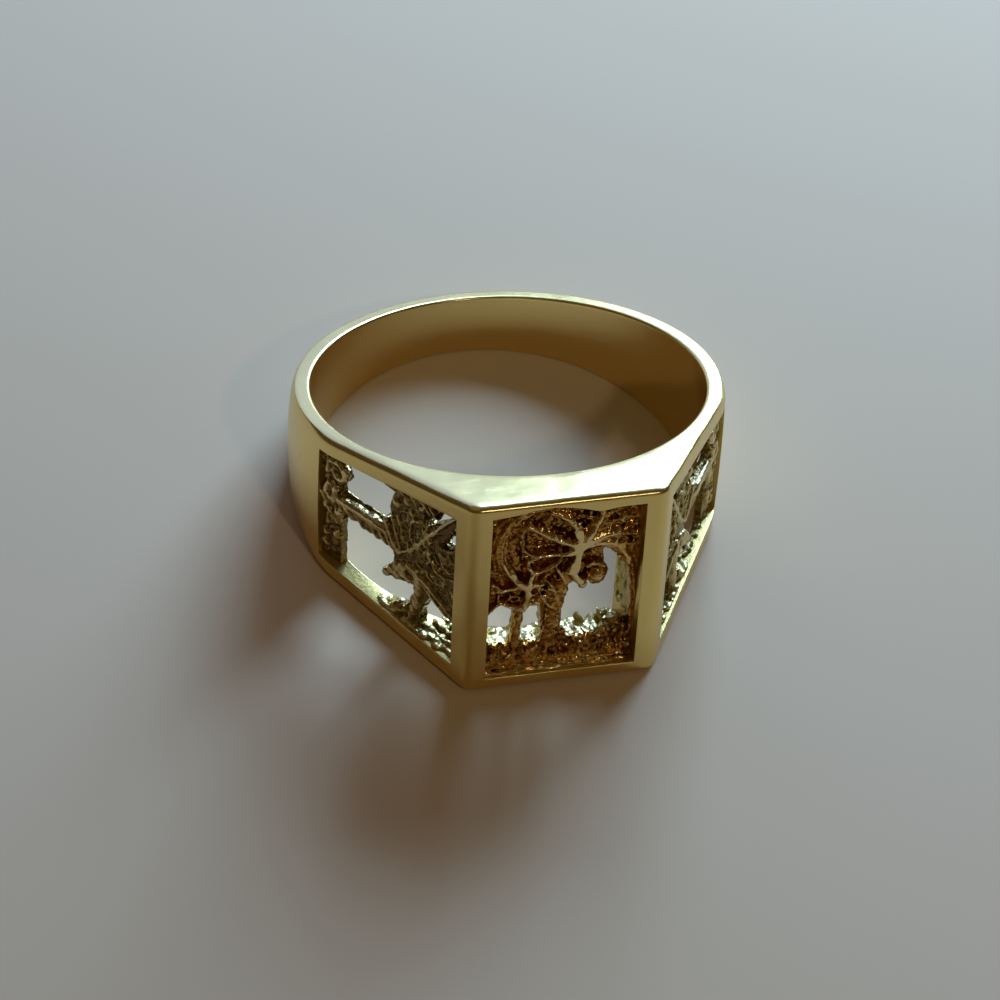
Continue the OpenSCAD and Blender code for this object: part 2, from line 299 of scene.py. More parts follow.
def section_rows():
    """Tags of the section's rows, in order round it: (kind, side, t)."""
    upper = []
    for kind, count, ends in (
        ("shelf", FLAT_ROWS, 0), ("edge", EDGE_ROWS, 1), ("face", FACE_ROWS, 0), ("rim", RIM_ROWS, 1),
        ("bore_shelf", FLAT_ROWS, 0),
    ):
        upper += [(kind, 1, i / count) for i in range(1 - ends, count + ends)]
    lower = [(kind, -1, t) for kind, _, t in reversed(upper)]
    outer, bore = ([(kind, 0, i / WIN_ROWS) for i in range(WIN_ROWS + 1)] for kind in ("outer", "bore"))
    return outer + upper + bore + lower


def window_span(station, in_bore):
    """Lowest and highest of the window rows at a station; on the posts they run on evenly."""
    if station.front_x is not None:
        x = min(station.front_x, FRONT_WIN_HALF) * station.flip
        return (HOLLOW_LOW, HOLLOW_HIGH) if in_bore else (FRONT_WIN_LOW, front_win_top(x))
    if station.side_s is not None:
        rise = side_win_rise(station.side_s)
        return (-rise, rise - HOLLOW_DROP) if in_bore else (-rise, rise)
    if station.point.y < 0:
        low, high = (HOLLOW_LOW, HOLLOW_HIGH) if in_bore else (FRONT_WIN_LOW, FRONT_WIN_TOP)
        t = math.atan2(station.outward.x, -station.outward.y) / SHOULDER_TURN
        if 0 <= t <= 1:
            return along(low, -SIDE_WIN_RISE_NEAR, t), along(high, SIDE_WIN_RISE_NEAR, t)
    rise = SIDE_WIN_RISE_FAR * half_width_at(station.point.y) / half_width_at(ROWS_FROM_Y)
    return -rise, rise


def outer_place(station, z, flat_top):
    """A place on the outside, which is flat on the head and domed on the shank."""
    f = z / flat_top
    return station.point - station.outward * (station.dome * min(1.0, f * f))


def edge_place(station, side, t):
    """A place on the rounded edge, which starts with the dome's own slope so that no crease shows."""
    angle = t * math.pi / 2
    flat_top = half_width_at(station.point.y) - station.edge_down
    run_on = 2 * station.dome * station.edge_down / flat_top
    round_in = max(LEAST_EDGE_IN, station.edge_in - run_on)
    sunk = station.dome + run_on * math.sin(angle) + round_in * (1 - math.cos(angle))
    p = station.point - station.outward * sunk
    return p, side * (half_width_at(p.y) - station.edge_down * (1 - math.sin(angle)))


def bore_dir(station):
    return Vector((math.sin(station.bore_turn), -math.cos(station.bore_turn)))


def rim_place(station, side, t):
    """A place on the small rounded rim between a side face and the bore."""
    angle = t * math.pi / 2
    p = bore_dir(station) * (FINGER_R + RIM_R * (1 - math.sin(angle)))
    return p, side * (half_width_at(p.y) - RIM_R * (1 - math.cos(angle)))


def section_point(station, row):
    """Where one row of one station lies."""
    kind, side, t = row
    if kind in ("outer", "shelf"):
        p, edge_z = edge_place(station, 1, 0)
        low, high = window_span(station, in_bore=False)
        if kind == "outer":
            z = along(low, high, t)
        else:
            z = along(high, edge_z, t) if side > 0 else along(low, -edge_z, t)
        p = outer_place(station, z, edge_z)
    elif kind == "edge":
        p, z = edge_place(station, side, t)
    elif kind == "face":
        start, _ = edge_place(station, side, 1)
        end, _ = rim_place(station, side, 0)
        p = start.lerp(end, t)
        z = side * half_width_at(p.y)
    elif kind == "rim":
        p, z = rim_place(station, side, t)
    else:
        p, rim_z = rim_place(station, 1, 1)
        low, high = window_span(station, in_bore=True)
        if kind == "bore":
            z = along(high, low, t)
        else:
            z = along(rim_z, high, t) if side > 0 else along(-rim_z, low, t)
    return Vector((p.x * station.flip, p.y, z))


def new_object(name, data):
    made = bpy.data.objects.new(name, data)
    bpy.context.scene.collection.objects.link(made)
    return made


def mesh_of(bm, name):
    """A bmesh's shape as a new mesh."""
    mesh = bpy.data.meshes.new(name)
    bm.to_mesh(mesh)
    bm.free()
    return mesh


def spun_ring(stations, rows):
    """A circle spun into a closed ring, whose corners then take their places on the band."""
    bm = bmesh.new()
    station_at = bm.verts.layers.int.new("station")
    row_at = bm.verts.layers.int.new("row")
    circle = bmesh.ops.create_circle(
        bm, segments=len(rows), radius=1.0,
        matrix=Matrix.Translation((FINGER_R, 0, 0)) @ Matrix.Rotation(math.pi / 2, 4, "X"),
    )["verts"]
    for j, v in enumerate(circle):
        v[row_at] = j
    bmesh.ops.spin(
        bm, geom=bm.verts[:] + bm.edges[:], cent=(0, 0, 0), axis=(0, 0, 1), dvec=(0, 0, 0),
        angle=2 * math.pi, steps=len(stations),
        use_merge=True, use_normal_flip=False, use_duplicate=False,
    )
    for v in bm.verts:
        turn = math.atan2(v.co.y, v.co.x) / (2 * math.pi)
        v[station_at] = round(turn * len(stations)) % len(stations)
        v.co = section_point(stations[v[station_at]], rows[v[row_at]])
    return bm, station_at, row_at


def windows(stations):
    """For each window: its columns, the way in, and how deep its straight walls go."""
    n = len(stations)
    front_edge = next(i for i, s in enumerate(stations) if s.front_x == FRONT_WIN_HALF)
    near = next(i for i, s in enumerate(stations) if s.side_s == SIDE_WIN_NEAR)
    far = next(i for i, s in enumerate(stations) if s.side_s == SIDE_WIN_FAR)
    inward, mirrored = (Vector((x, -SHOULDER_OUT.y, 0)) for x in (-SHOULDER_OUT.x, SHOULDER_OUT.x))
    return [
        ({i % n for i in range(-front_edge, front_edge + 1)}, Vector((0, 1, 0)), FRONT_SINK + SCREEN_T),
        (set(range(near, far + 1)), inward, SIDE_SINK + SCREEN_T),
        ({n - i for i in range(near, far + 1)}, mirrored, SIDE_SINK + SCREEN_T),
    ]


# Material places of the band's mesh
BUFFED, BORE, CAST_WALL = 0, 1, 2


def loop_of(faces):
    """The edges round a block of faces."""
    block = set(faces)
    return [e for f in faces for e in f.edges if sum(g in block for g in e.link_faces) == 1]


def grown_verts(bm, edges):
    """The corners and edges of a loop that is drawn out from another loop."""
    made = bmesh.ops.extrude_edge_only(bm, edges=edges)["geom"]
    for g in made:
        if isinstance(g, bmesh.types.BMFace):
            g.material_index = CAST_WALL
    verts = [g for g in made if isinstance(g, bmesh.types.BMVert)]
    among = set(verts)
    edges = [g for g in made if isinstance(g, bmesh.types.BMEdge) and among.issuperset(g.verts)]
    return verts, edges


def cut_window(bm, station_at, row_at, stations, rows, columns, inward, depth):
    """Opens one window: straight walls in from the face, then a hollow that narrows to the bore."""
    def block(kind):
        return [
            f for f in bm.faces
            if all(v[station_at] in columns and rows[v[row_at]][0] == kind for v in f.verts)
        ]
    face_block, bore_block = block("outer"), block("bore")
    face_loop, bore_loop = loop_of(face_block), loop_of(bore_block)
    bmesh.ops.delete(bm, geom=face_block + bore_block, context="FACES")
    wall_verts, wall_edges = grown_verts(bm, face_loop)
    for v in wall_verts:
        sunk = min(depth, WALL_SHARE * reach_to_bore(v.co.xy, inward.xy))
        v.co += inward * sunk
        if rows[v[row_at]][2] == 0 and stations[v[station_at]].side_s is not None:
            v.co.z += SILL_LIFT * sunk
    # The hollow's last corners are welded onto the bore's own, whose edges stay whole for the bevel
    hollow_verts, _ = grown_verts(bm, wall_edges)
    bore_corners = {(v[station_at], v[row_at]): v for e in bore_loop for v in e.verts}
    first_of_bore = rows.index(("bore", 0, 0))
    facing = {v: bore_corners[v[station_at], first_of_bore + WIN_ROWS - v[row_at]] for v in hollow_verts}
    bmesh.ops.weld_verts(bm, targetmap=facing)
    return face_loop, bore_loop


def band_mesh():
    """The band with its three windows: buffed outside, worn bore and as-cast window walls."""
    stations = all_stations()
    rows = section_rows()
    bm, station_at, row_at = spun_ring(stations, rows)
    face_loops, bore_loops = [], []
    for columns, inward, depth in windows(stations):
        face_loop, bore_loop = cut_window(bm, station_at, row_at, stations, rows, columns, inward, depth)
        face_loops += face_loop
        bore_loops += bore_loop
    bmesh.ops.recalc_face_normals(bm, faces=bm.faces)
    for loop, width in ((face_loops, FACE_BEVEL), (bore_loops, BORE_BEVEL)):
        bmesh.ops.bevel(
            bm, geom=[e for e in loop if e.is_valid], offset=width, offset_type="OFFSET",
            segments=BEVEL_STEPS, profile=0.5, affect="EDGES", material=-1, clamp_overlap=True,
        )
    for f in bm.faces:
        f.smooth = True
        mid = f.calc_center_median()
        reach = max(-mid.y - FRONT_REACH, Vector((abs(mid.x), mid.y)).dot(SHOULDER_OUT) - SHOULDER_REACH)
        if math.hypot(mid.x, mid.y) < FINGER_R + BORE_SKIN:
            f.material_index = BORE
        elif f.material_index == CAST_WALL and reach > -FACE_SKIN:
            f.material_index = BUFFED
    mesh = mesh_of(bm, "band")
    mesh.set_sharp_from_angle(angle=SHARP_TURN)
    return mesh


def lay_in_part(mesh):
    mesh.transform(RING_TO_PART)
    mesh.update()


def band():
    mesh = band_mesh()
    lay_in_part(mesh)
    made = new_object("ring_band", mesh)
    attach(made, "root")
    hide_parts("ring")
    return made


# Cast relief. A panel's own places are (across, up) on its face and a depth below that face.

# Crests are buffed flat this far below the face
POLISH_DEPTH = 0.14

# How far the castings keep from the finger hole and from the band's side faces
BORE_CLEAR = 0.04
SIDE_CLEAR = 0.25

# Length of the lumps along a rod, their share of its width, and how much they move its crest
ROD_LUMP = 0.42
ROD_UNEVEN = 0.55
CREST_UNEVEN = 0.14 * ROD_UNEVEN

# How much a rod's tip rounds off, and how near its end
TIP_ROUND = 0.45
TIP_POWER = 12

# Size of the voxels that run the pieces together, and the mould's grain per millimetre
VOXEL = 0.062
GRAIN_SCALE = 2.8
FRONT_GRAIN = 0.08
SIDE_GRAIN = 0.06

# Depth of the sunk ground, where the tarnish and painted shade are fullest
FRONT_GROUND = 0.60
SIDE_GROUND = 0.46

# The front screen starts this much nearer the face than the solid's, and screens lap into the band
SCREEN_PROUD = 0.15
SIDE_LAP = 0.12
END_LAP = 0.1

# A hollow is measured against the surface evened out in this many rounds; this height is a full one
EVEN_ROUNDS = 14
FULL_HOLLOW = 0.05

# A paler, rougher skin, partly painted light, covers places deeper than this behind the front window, and
# up to this height over a shoulder's sill
PALE_SKIN_DEPTH = 1.25
SILL_LUMP_TOP = 0.42

FRONT_PANEL = Matrix((
    (1, 0, 0, 0),
    (0, 0, -1, -FRONT_REACH),
    (0, 1, 0, 0),
    (0, 0, 0, 1),
))
SHOULDER_PANEL = Matrix((
    (SHOULDER_DIR.x, 0, SHOULDER_OUT.x, FRONT_CORNER.x),
    (SHOULDER_DIR.y, 0, SHOULDER_OUT.y, FRONT_CORNER.y),
    (0, 1, 0, 0),
    (0, 0, 0, 1),
))


def curve_at(points, t):
    """A place and a direction on the smooth curve that the control points pull."""
    pts = [Vector(p) for p in points]
    while len(pts) > 2:
        pts = [a.lerp(b, t) for a, b in zip(pts, pts[1:])]
    return pts[0].lerp(pts[1], t), (pts[1] - pts[0]).normalized()


def curve_length(points):
    places = [curve_at(points, t)[0] for t in steps(0, 1, 16) + [1]]
    return sum((b - a).length for a, b in zip(places, places[1:]))


def rod(bm, points, wide, crest, deep, rings=9, sides=8, flat=0.75, shift=0.0, boxy=1.0, bark=None):
    """A bent tapering rod. wide, crest and deep are pairs, for its start and tip.

    They are its half width, the depth of its crest and its half thickness. flat below 1 takes the
    top off the crest, boxy below 1 squares the section, and bark swells it on its way.
    """
    one = bmesh.new()
    bmesh.ops.create_cone(
        one, cap_ends=True, cap_tris=False, segments=sides, radius1=1, radius2=1, depth=1
    )
    long_edges = [e for e in one.edges if abs(e.verts[0].co.z - e.verts[1].co.z) > 0.5]
    bmesh.ops.subdivide_edges(one, edges=long_edges, cuts=rings)
    for v in one.verts:
        t = min(max(v.co.z + 0.5, 0.0), 1.0)
        place, ahead = curve_at(points, t)
        across = Vector((-ahead.y, ahead.x))
        swell = bark(t, v.co.x) if bark else 1.0
        round_end = 1 - TIP_ROUND * t ** TIP_POWER
        uneven = noise.noise(Vector((place.x, place.y, along(*crest, t))) / ROD_LUMP)
        half = along(*wide, t) * swell * round_end * (1 + ROD_UNEVEN * uneven)
        rise = along(*deep, t) * swell * round_end
        x, y = (math.copysign(abs(c) ** boxy, c) for c in (v.co.x, v.co.y))
        side = across * (x * half + shift)
        top = along(*crest, t) + along(*deep, t) * flat - CREST_UNEVEN * uneven
        v.co = Vector((place.x + side.x, place.y + side.y, min(y, flat) * rise - top))
    part = mesh_of(one, "rod")
    bm.from_mesh(part)
    bpy.data.meshes.remove(part)


def blade(bm, root, tip, wide, thick, point=0.25):
    """One leaflet from root to tip, both (across, up, depth). point is the share of width at its tip."""
    a, b = Vector((root[0], root[1], -root[2])), Vector((tip[0], tip[1], -tip[2]))
    ahead = (b - a).normalized()
    across = ahead.cross(Vector((0, 0, 1))).normalized()
    above = across.cross(ahead)
    turn = Matrix((across, above, ahead)).transposed().to_4x4()
    size = Matrix.Diagonal((wide, thick, (b - a).length, 1))
    bmesh.ops.create_cone(
        bm, cap_ends=True, cap_tris=False, segments=6, radius1=1.0, radius2=point, depth=1,
        matrix=Matrix.Translation((a + b) / 2) @ turn @ size,
    )


def lump(bm, place, r, shape=(1, 1, 1), turn=Matrix.Identity(4), finer=2):
    """A ball at (across, up, depth), stretched by shape and then turned."""
    bmesh.ops.create_icosphere(
        bm, subdivisions=finer, radius=r,
        matrix=Matrix.Translation((place[0], place[1], -place[2])) @ turn @ Matrix.Diagonal((*shape, 1)),
    )


def nut(bm, u, v, r, depth):
    lump(bm, (u, v, depth), r, finer=3)


def screen(bm, outline, gaps, top, thick):
    """The pierced sheet behind the relief: an outline with gaps, drawn back to its thickness."""
    edges = []
    for points in [outline] + gaps:
        ring = [bm.verts.new((u, v, -top)) for u, v in points]
        edges += [bm.edges.new((a, b)) for a, b in zip(ring, ring[1:] + ring[:1])]
    faces = [
        f for f in bmesh.ops.triangle_fill(bm, edges=edges, use_beauty=True, use_dissolve=False)["geom"]
        if isinstance(f, bmesh.types.BMFace)
    ]
    grown = bmesh.ops.extrude_face_region(bm, geom=faces, use_keep_orig=True)["geom"]
    bmesh.ops.translate(
        bm, verts=[g for g in grown if isinstance(g, bmesh.types.BMVert)], vec=(0, 0, -thick)
    )


def soft_corners(points, cut=0.22):
    """Each corner of an outline cut back to a short curve."""
    out, n = [], len(points)
    for i in range(n):
        before, here, after = (Vector(points[(i + k) % n]) for k in (-1, 0, 1))
        entry = here + (before - here).normalized() * min(cut, 0.42 * (before - here).length)
        leave = here + (after - here).normalized() * min(cut, 0.42 * (after - here).length)
        out += [tuple(curve_at((entry, here, leave), t)[0]) for t in (0, 0.5, 1)]
    return out


def inside(points, u, v):
    """Whether a place lies inside an outline."""
    hit = False
    for (ax, ay), (bx, by) in zip(points, points[1:] + points[:1]):
        if (ay > v) != (by > v) and u < ax + (v - ay) / (by - ay) * (bx - ax):
            hit = not hit
    return hit


def trunk_bark(rings, strength, slant):
    """Overlapping rings of bark, each swelling towards its upper edge and slanting across the trunk."""
    def swell(t, across):
        return 1 + strength * (((t + slant * across) * rings) % 1.0 - 0.5)
    return swell


def ridge_waves(start):
    """Slow waves along a ridge of the sill."""
    def swell(t, across):
        return 1 + 0.22 * math.sin(31 * t + start)
    return swell


# Rows of the tables of arms, leaves and lines hold the control points of a bent rod, then the pairs
# of its half width and its crest's depth at start and tip

NEAR_ARMS = [
    ([(0.62, 2.60), (0.66, 3.95), (-0.80, 4.45)], (0.27, 0.05), (0.08, 0.26)),
    ([(0.85, 2.60), (1.25, 3.10), (1.72, 4.25)], (0.18, 0.05), (0.08, 0.30)),
    ([(0.85, 2.50), (1.60, 2.95), (2.60, 2.88)], (0.16, 0.05), (0.08, 0.28)),
    ([(0.60, 2.42), (-0.55, 2.95), (-1.80, 3.78)], (0.17, 0.06), (0.08, 0.24)),
    ([(0.55, 2.28), (-0.10, 1.92), (-0.60, 2.05)], (0.17, 0.09), (0.08, 0.24)),
    ([(0.64, 2.40), (0.55, 1.50), (0.36, 0.80)], (0.20, 0.26), (0.06, 0.10)),
    ([(0.36, 1.05), (0.46, 0.52), (0.90, 0.26)], (0.26, 0.18), (0.10, 0.20)),
    ([(0.30, 1.00), (0.12, 0.92), (-0.02, 0.98)], (0.16, 0.12), (0.14, 0.24)),
]

NEAR_LEAVES = [
    # Curled leaf round the dark pit
    ([(-0.45, 2.08), (-1.95, 2.20), (-1.72, 1.35)], (0.12, 0.12), (0.14, 0.26)),
    ([(-1.74, 1.50), (-1.45, 0.72), (-0.35, 1.48)], (0.16, 0.10), (0.22, 0.26)),
    ([(-0.40, 1.42), (-0.15, 1.62), (-0.10, 1.95)], (0.08, 0.06), (0.24, 0.30)),
    # Leaf edge inside the far palm's arch
    ([(-2.15, 3.05), (-2.15, 2.25), (-1.35, 2.10)], (0.07, 0.08), (0.30, 0.20)),
    # Rim of the nut, and the short leaf under the right arm
    ([(1.02, 1.12), (1.42, 1.52), (2.02, 0.85)], (0.12, 0.08), (0.22, 0.28)),
    ([(0.95, 2.28), (1.25, 2.10), (1.45, 1.75)], (0.10, 0.07), (0.24, 0.36)),
    # Skirt of old leaves beside the trunk, over the gap between the palms
    ([(-1.20, 0.20), (-1.02, -0.75), (-0.15, -1.40)], (0.13, 0.11), (0.22, 0.26)),
    ([(-0.95, 0.62), (-0.45, 0.30), (-0.22, -1.00)], (0.12, 0.08), (0.28, 0.34)),
    ([(-0.35, 1.15), (0.10, 0.50), (0.22, -0.55)], (0.13, 0.08), (0.24, 0.34)),
    ([(-0.75, 0.05), (-0.30, -0.05), (0.16, -0.62)], (0.09, 0.06), (0.26, 0.36)),
    ([(-0.90, -0.30), (-0.55, -0.62), (-0.05, -0.75)], (0.10, 0.06), (0.30, 0.34)),
]

NEAR_TRUNK = [(-0.42, -3.9), (-0.60, -1.0), (0.40, 1.20)]

BROAD_LEAF = [(0.95, 2.32), (2.50, 3.00), (3.10, 0.95)]

NEAR_SPRAYS = [
    # Sprays of leaflets at the right of the window
    [(3.10, 1.20), (3.52, 0.30), (3.55, -1.90)],
    [(1.70, 3.20), (2.60, 3.45), (3.30, 4.10)],
    [(2.40, 2.90), (3.10, 2.80), (3.40, 2.00)],
    [(1.50, 3.90), (2.30, 3.80), (3.00, 4.50)],
]

FAR_ARMS = [
    ([(-1.72, 0.36), (-2.70, 0.75), (-3.02, 2.25)], (0.18, 0.07), (0.10, 0.26)),
    ([(-1.80, 0.42), (-2.35, 0.85), (-2.62, 1.75)], (0.10, 0.06), (0.16, 0.30)),
    ([(-1.62, 0.36), (-1.20, 0.48), (-0.85, 0.30)], (0.13, 0.07), (0.12, 0.24)),
    ([(-1.66, 0.40), (-1.60, 0.80), (-1.48, 1.12)], (0.16, 0.12), (0.12, 0.18)),
    ([(-1.70, 0.30), (-1.62, -0.30), (-1.85, -0.95)], (0.16, 0.20), (0.10, 0.16)),
    ([(-1.85, -0.95), (-1.45, -0.52), (-0.95, -0.78)], (0.12, 0.10), (0.16, 0.26)),
    ([(-1.80, -0.95), (-2.30, -0.92), (-2.92, -0.58)], (0.13, 0.09), (0.16, 0.28)),
    ([(-1.80, 0.28), (-2.60, 0.45), (-3.45, 0.02)], (0.10, 0.07), (0.14, 0.30)),
    ([(-2.95, -0.55), (-3.25, -0.75), (-3.62, -1.35)], (0.12, 0.10), (0.28, 0.40)),
    ([(-3.05, 0.35), (-3.25, 0.60), (-3.50, 0.55)], (0.09, 0.07), (0.30, 0.40)),
]

ARCH_LINES = [
    # The wide frond that arches over the window, in three stretches of nearly parallel lines
    [(-2.90, 1.40), (-3.45, 3.05), (-2.45, 4.10)],
    [(-2.55, 3.98), (-1.75, 4.98), (-0.20, 4.92)],
    [(-0.35, 4.93), (0.95, 5.00), (1.60, 4.22)],
]

ARCH_STRANDS = [
    # How far each strand of the arch lies to the side, its half width and its depth
    (-0.30, 0.08, 0.44),
    (-0.10, 0.10, 0.30),
    (0.12, 0.09, 0.36),
    (0.33, 0.07, 0.48),
]

FAR_SPRAYS = [
    # Leaflets that hang inside the arch
    [(-1.50, 1.95), (-2.60, 3.00), (-1.60, 4.00)],
    [(-1.95, 1.00), (-2.60, 1.90), (-2.45, 3.00)],
    [(-0.70, 2.90), (-1.10, 3.60), (-0.70, 4.20)],
]

FRONT_CUPS = [
    # Pits among the far palm's leaves: place, radius, depth of the rim
    (-2.18, 0.14, 0.19, 0.24),
    (-2.24, -0.42, 0.23, 0.26),
    (-1.46, -0.32, 0.18, 0.22),
    (-2.80, -0.22, 0.33, 0.36),
    (-3.28, 0.18, 0.14, 0.34),
]

FRONT_NUTS = [
    # Place, radius, depth of the centre
    (1.60, 0.40, 0.57, 0.84),
    (0.88, 0.16, 0.25, 0.38),
    (0.98, 2.95, 0.15, 0.42),
    (0.80, 3.25, 0.12, 0.44),
    (1.18, 3.20, 0.11, 0.44),
    (0.30, 2.72, 0.11, 0.42),
]

BANK_LEDGES = [
    # Height, half width, depth of the crest and half thickness of each ledge along the window's foot
    (-4.74, 0.15, 0.24, 1.0),
    (-4.46, 0.11, 0.34, 0.9),
    (-4.20, 0.15, 0.42, 0.9),
]

BANK_TUFTS = [
    # Height and depth of each row of tufts, the length of its blades, and how many tufts it has
    (-4.12, 0.52, 0.50, 13),
    (-4.05, 0.66, 0.78, 15),
    (-3.95, 0.85, 1.05, 14),
]


def front_relief_parts(bm):
    """The front window's casting: two palms on a grassy bank, with leaf scraps behind them."""
    draw = random.Random(11)
    edge, foot = FRONT_WIN_HALF + SIDE_LAP, FRONT_WIN_LOW - END_LAP
    spots = [edge * i / 12 for i in range(12, -13, -1)]
    tops = [(u, front_win_top(min(max(u, -3.44), 3.44)) + SIDE_LAP) for u in spots]
    outline = [(-edge, foot), (edge, foot)] + tops
    gaps = [soft_corners(g) for g in FRONT_GAPS]
    screen(bm, outline, gaps, FRONT_SINK - SCREEN_PROUD, SCREEN_T + SCREEN_PROUD)
    litter(bm, draw, (-3.5, -1.0), (0.2, 4.7), (0.56, 0.80), 190, FRONT_GAPS)
    litter(bm, draw, (1.0, 2.4), (3.5, 4.5), (0.48, 0.74), 130, FRONT_GAPS)
    litter(bm, draw, (-1.1, -1.3), (0.3, 1.2), (0.40, 0.70), 60, FRONT_GAPS)
    near_palm(bm, draw)
    far_palm(bm, draw)
    front_bank(bm, draw)


def near_palm(bm, draw):
    """The tall palm: a trunk with old leaf ends, and arms that spread from a nut."""
    rod(
        bm, NEAR_TRUNK, (0.40, 0.30), (0.52, 0.34), (0.55, 0.45),
        rings=60, sides=12, bark=trunk_bark(15, 0.22, 0.05),
    )
    leaf_ends = 26
    for i in range(leaf_ends):
        place, ahead = curve_at(NEAR_TRUNK, (i + 0.5) / leaf_ends)
        lean = ahead.orthogonal() * draw.uniform(-0.34, 0.34)
        root = place + lean
        end = root + ahead * draw.uniform(0.25, 0.4) + lean * 0.3
        blade(bm, (root.x, root.y, 0.56), (end.x, end.y, draw.uniform(0.34, 0.48)), 0.10, 0.10)
    nut(bm, 0.72, 2.45, 0.30, 0.34)
    for points, wide, crest in NEAR_ARMS:
        rod(bm, points, wide, crest, (0.4, 0.35), rings=14)
    for points, wide, crest in NEAR_LEAVES:
        rod(bm, points, wide, crest, (0.4, 0.4), rings=12, flat=1.0)
    for points, wide, crest in NEAR_ARMS[:4]:
        leaflets(bm, draw, points, crest, reach=0.5, drop=0.34)
    # Broad hatched leaf that hangs over the big gap
    rod(bm, BROAD_LEAF, (0.12, 0.10), (0.14, 0.30), (0.4, 0.4), rings=12, flat=1.0)
    leaflets(bm, draw, BROAD_LEAF, (0.16, 0.32), reach=0.62, drop=0.22, pitch=0.16, lean=50)
    for points in NEAR_SPRAYS:
        rod(bm, points, (0.09, 0.07), (0.42, 0.62), (0.3, 0.3), flat=1.0)
        leaflets(bm, draw, points, (0.45, 0.65), reach=0.36, drop=0.2, pitch=0.17, leaf=0.09)
    for u, v, r, depth in FRONT_NUTS:
        nut(bm, u, v, r, depth)


def far_palm(bm, draw):
    """The small palm at the left, under the wide frond that arches over the window."""
    rod(
        bm, [(-2.20, -3.9), (-2.05, -2.2), (-1.90, -0.60)], (0.24, 0.19), (0.46, 0.30), (0.5, 0.4),
        rings=50, sides=12, bark=trunk_bark(13, 0.22, 0.05),
    )
    nut(bm, -1.72, 0.32, 0.26, 0.34)
    for points, wide, crest in FAR_ARMS:
        rod(bm, points, wide, crest, (0.4, 0.4), rings=12)
    for stretch, points in enumerate(ARCH_LINES):
        for line, (offset, wide, depth) in enumerate(ARCH_STRANDS):
            drift = 0.06 * math.sin(2.1 * line + 1.7 * stretch)
            rod(
                bm, points, (wide, wide * 0.9), (depth, depth + drift), (0.4, 0.4),
                rings=16, shift=offset, flat=1.0,
            )
        leaflets(bm, draw, points, (0.34, 0.36), reach=0.5, drop=0.3, pitch=0.2, lean=30, leaf=0.09)
    for points in FAR_SPRAYS:
        leaflets(bm, draw, points, (0.50, 0.56), reach=0.42, drop=0.2, pitch=0.17)
    for u, v, r, depth in FRONT_CUPS:
        cup(bm, draw, u, v, r, depth)


def cup(bm, draw, u, v, r, depth):
    """A small uneven rim of metal, with the sunk ground left as a pit inside it."""
    corners = []
    for i in range(6):
        reach, turn = r * draw.uniform(0.8, 1.3), (i + draw.uniform(-0.2, 0.2)) * math.pi / 3
        corners.append(Vector((u + reach * math.cos(turn), v + reach * math.sin(turn))))
    for i in range(6):
        a, b, c = (corners[(i + k) % 6] for k in range(3))
        low = depth + draw.uniform(-0.06, 0.12)
        rod(bm, [(a + b) / 2, b, (b + c) / 2], (0.07, 0.07), (low, low), (0.35, 0.35), rings=5, flat=1.0)


def litter(bm, draw, low, high, depth, count, gaps):
    """Short leaf scraps at all angles that break up a sunk ground, kept off the gaps."""
    for _ in range(count):
        u, v = draw.uniform(low[0], high[0]), draw.uniform(low[1], high[1])
        angle, length = draw.uniform(0, 2 * math.pi), draw.uniform(0.2, 0.42)
        end_u, end_v = u + math.cos(angle) * length, v + math.sin(angle) * length
        deep, rise = draw.uniform(*depth), draw.uniform(0.0, 0.14)
        thick = draw.uniform(0.06, 0.1)
        if not any(inside(gap, a, b) for gap in gaps for a, b in ((u, v), (end_u, end_v))):
            blade(bm, (u, v, deep), (end_u, end_v, deep - rise), thick, thick)


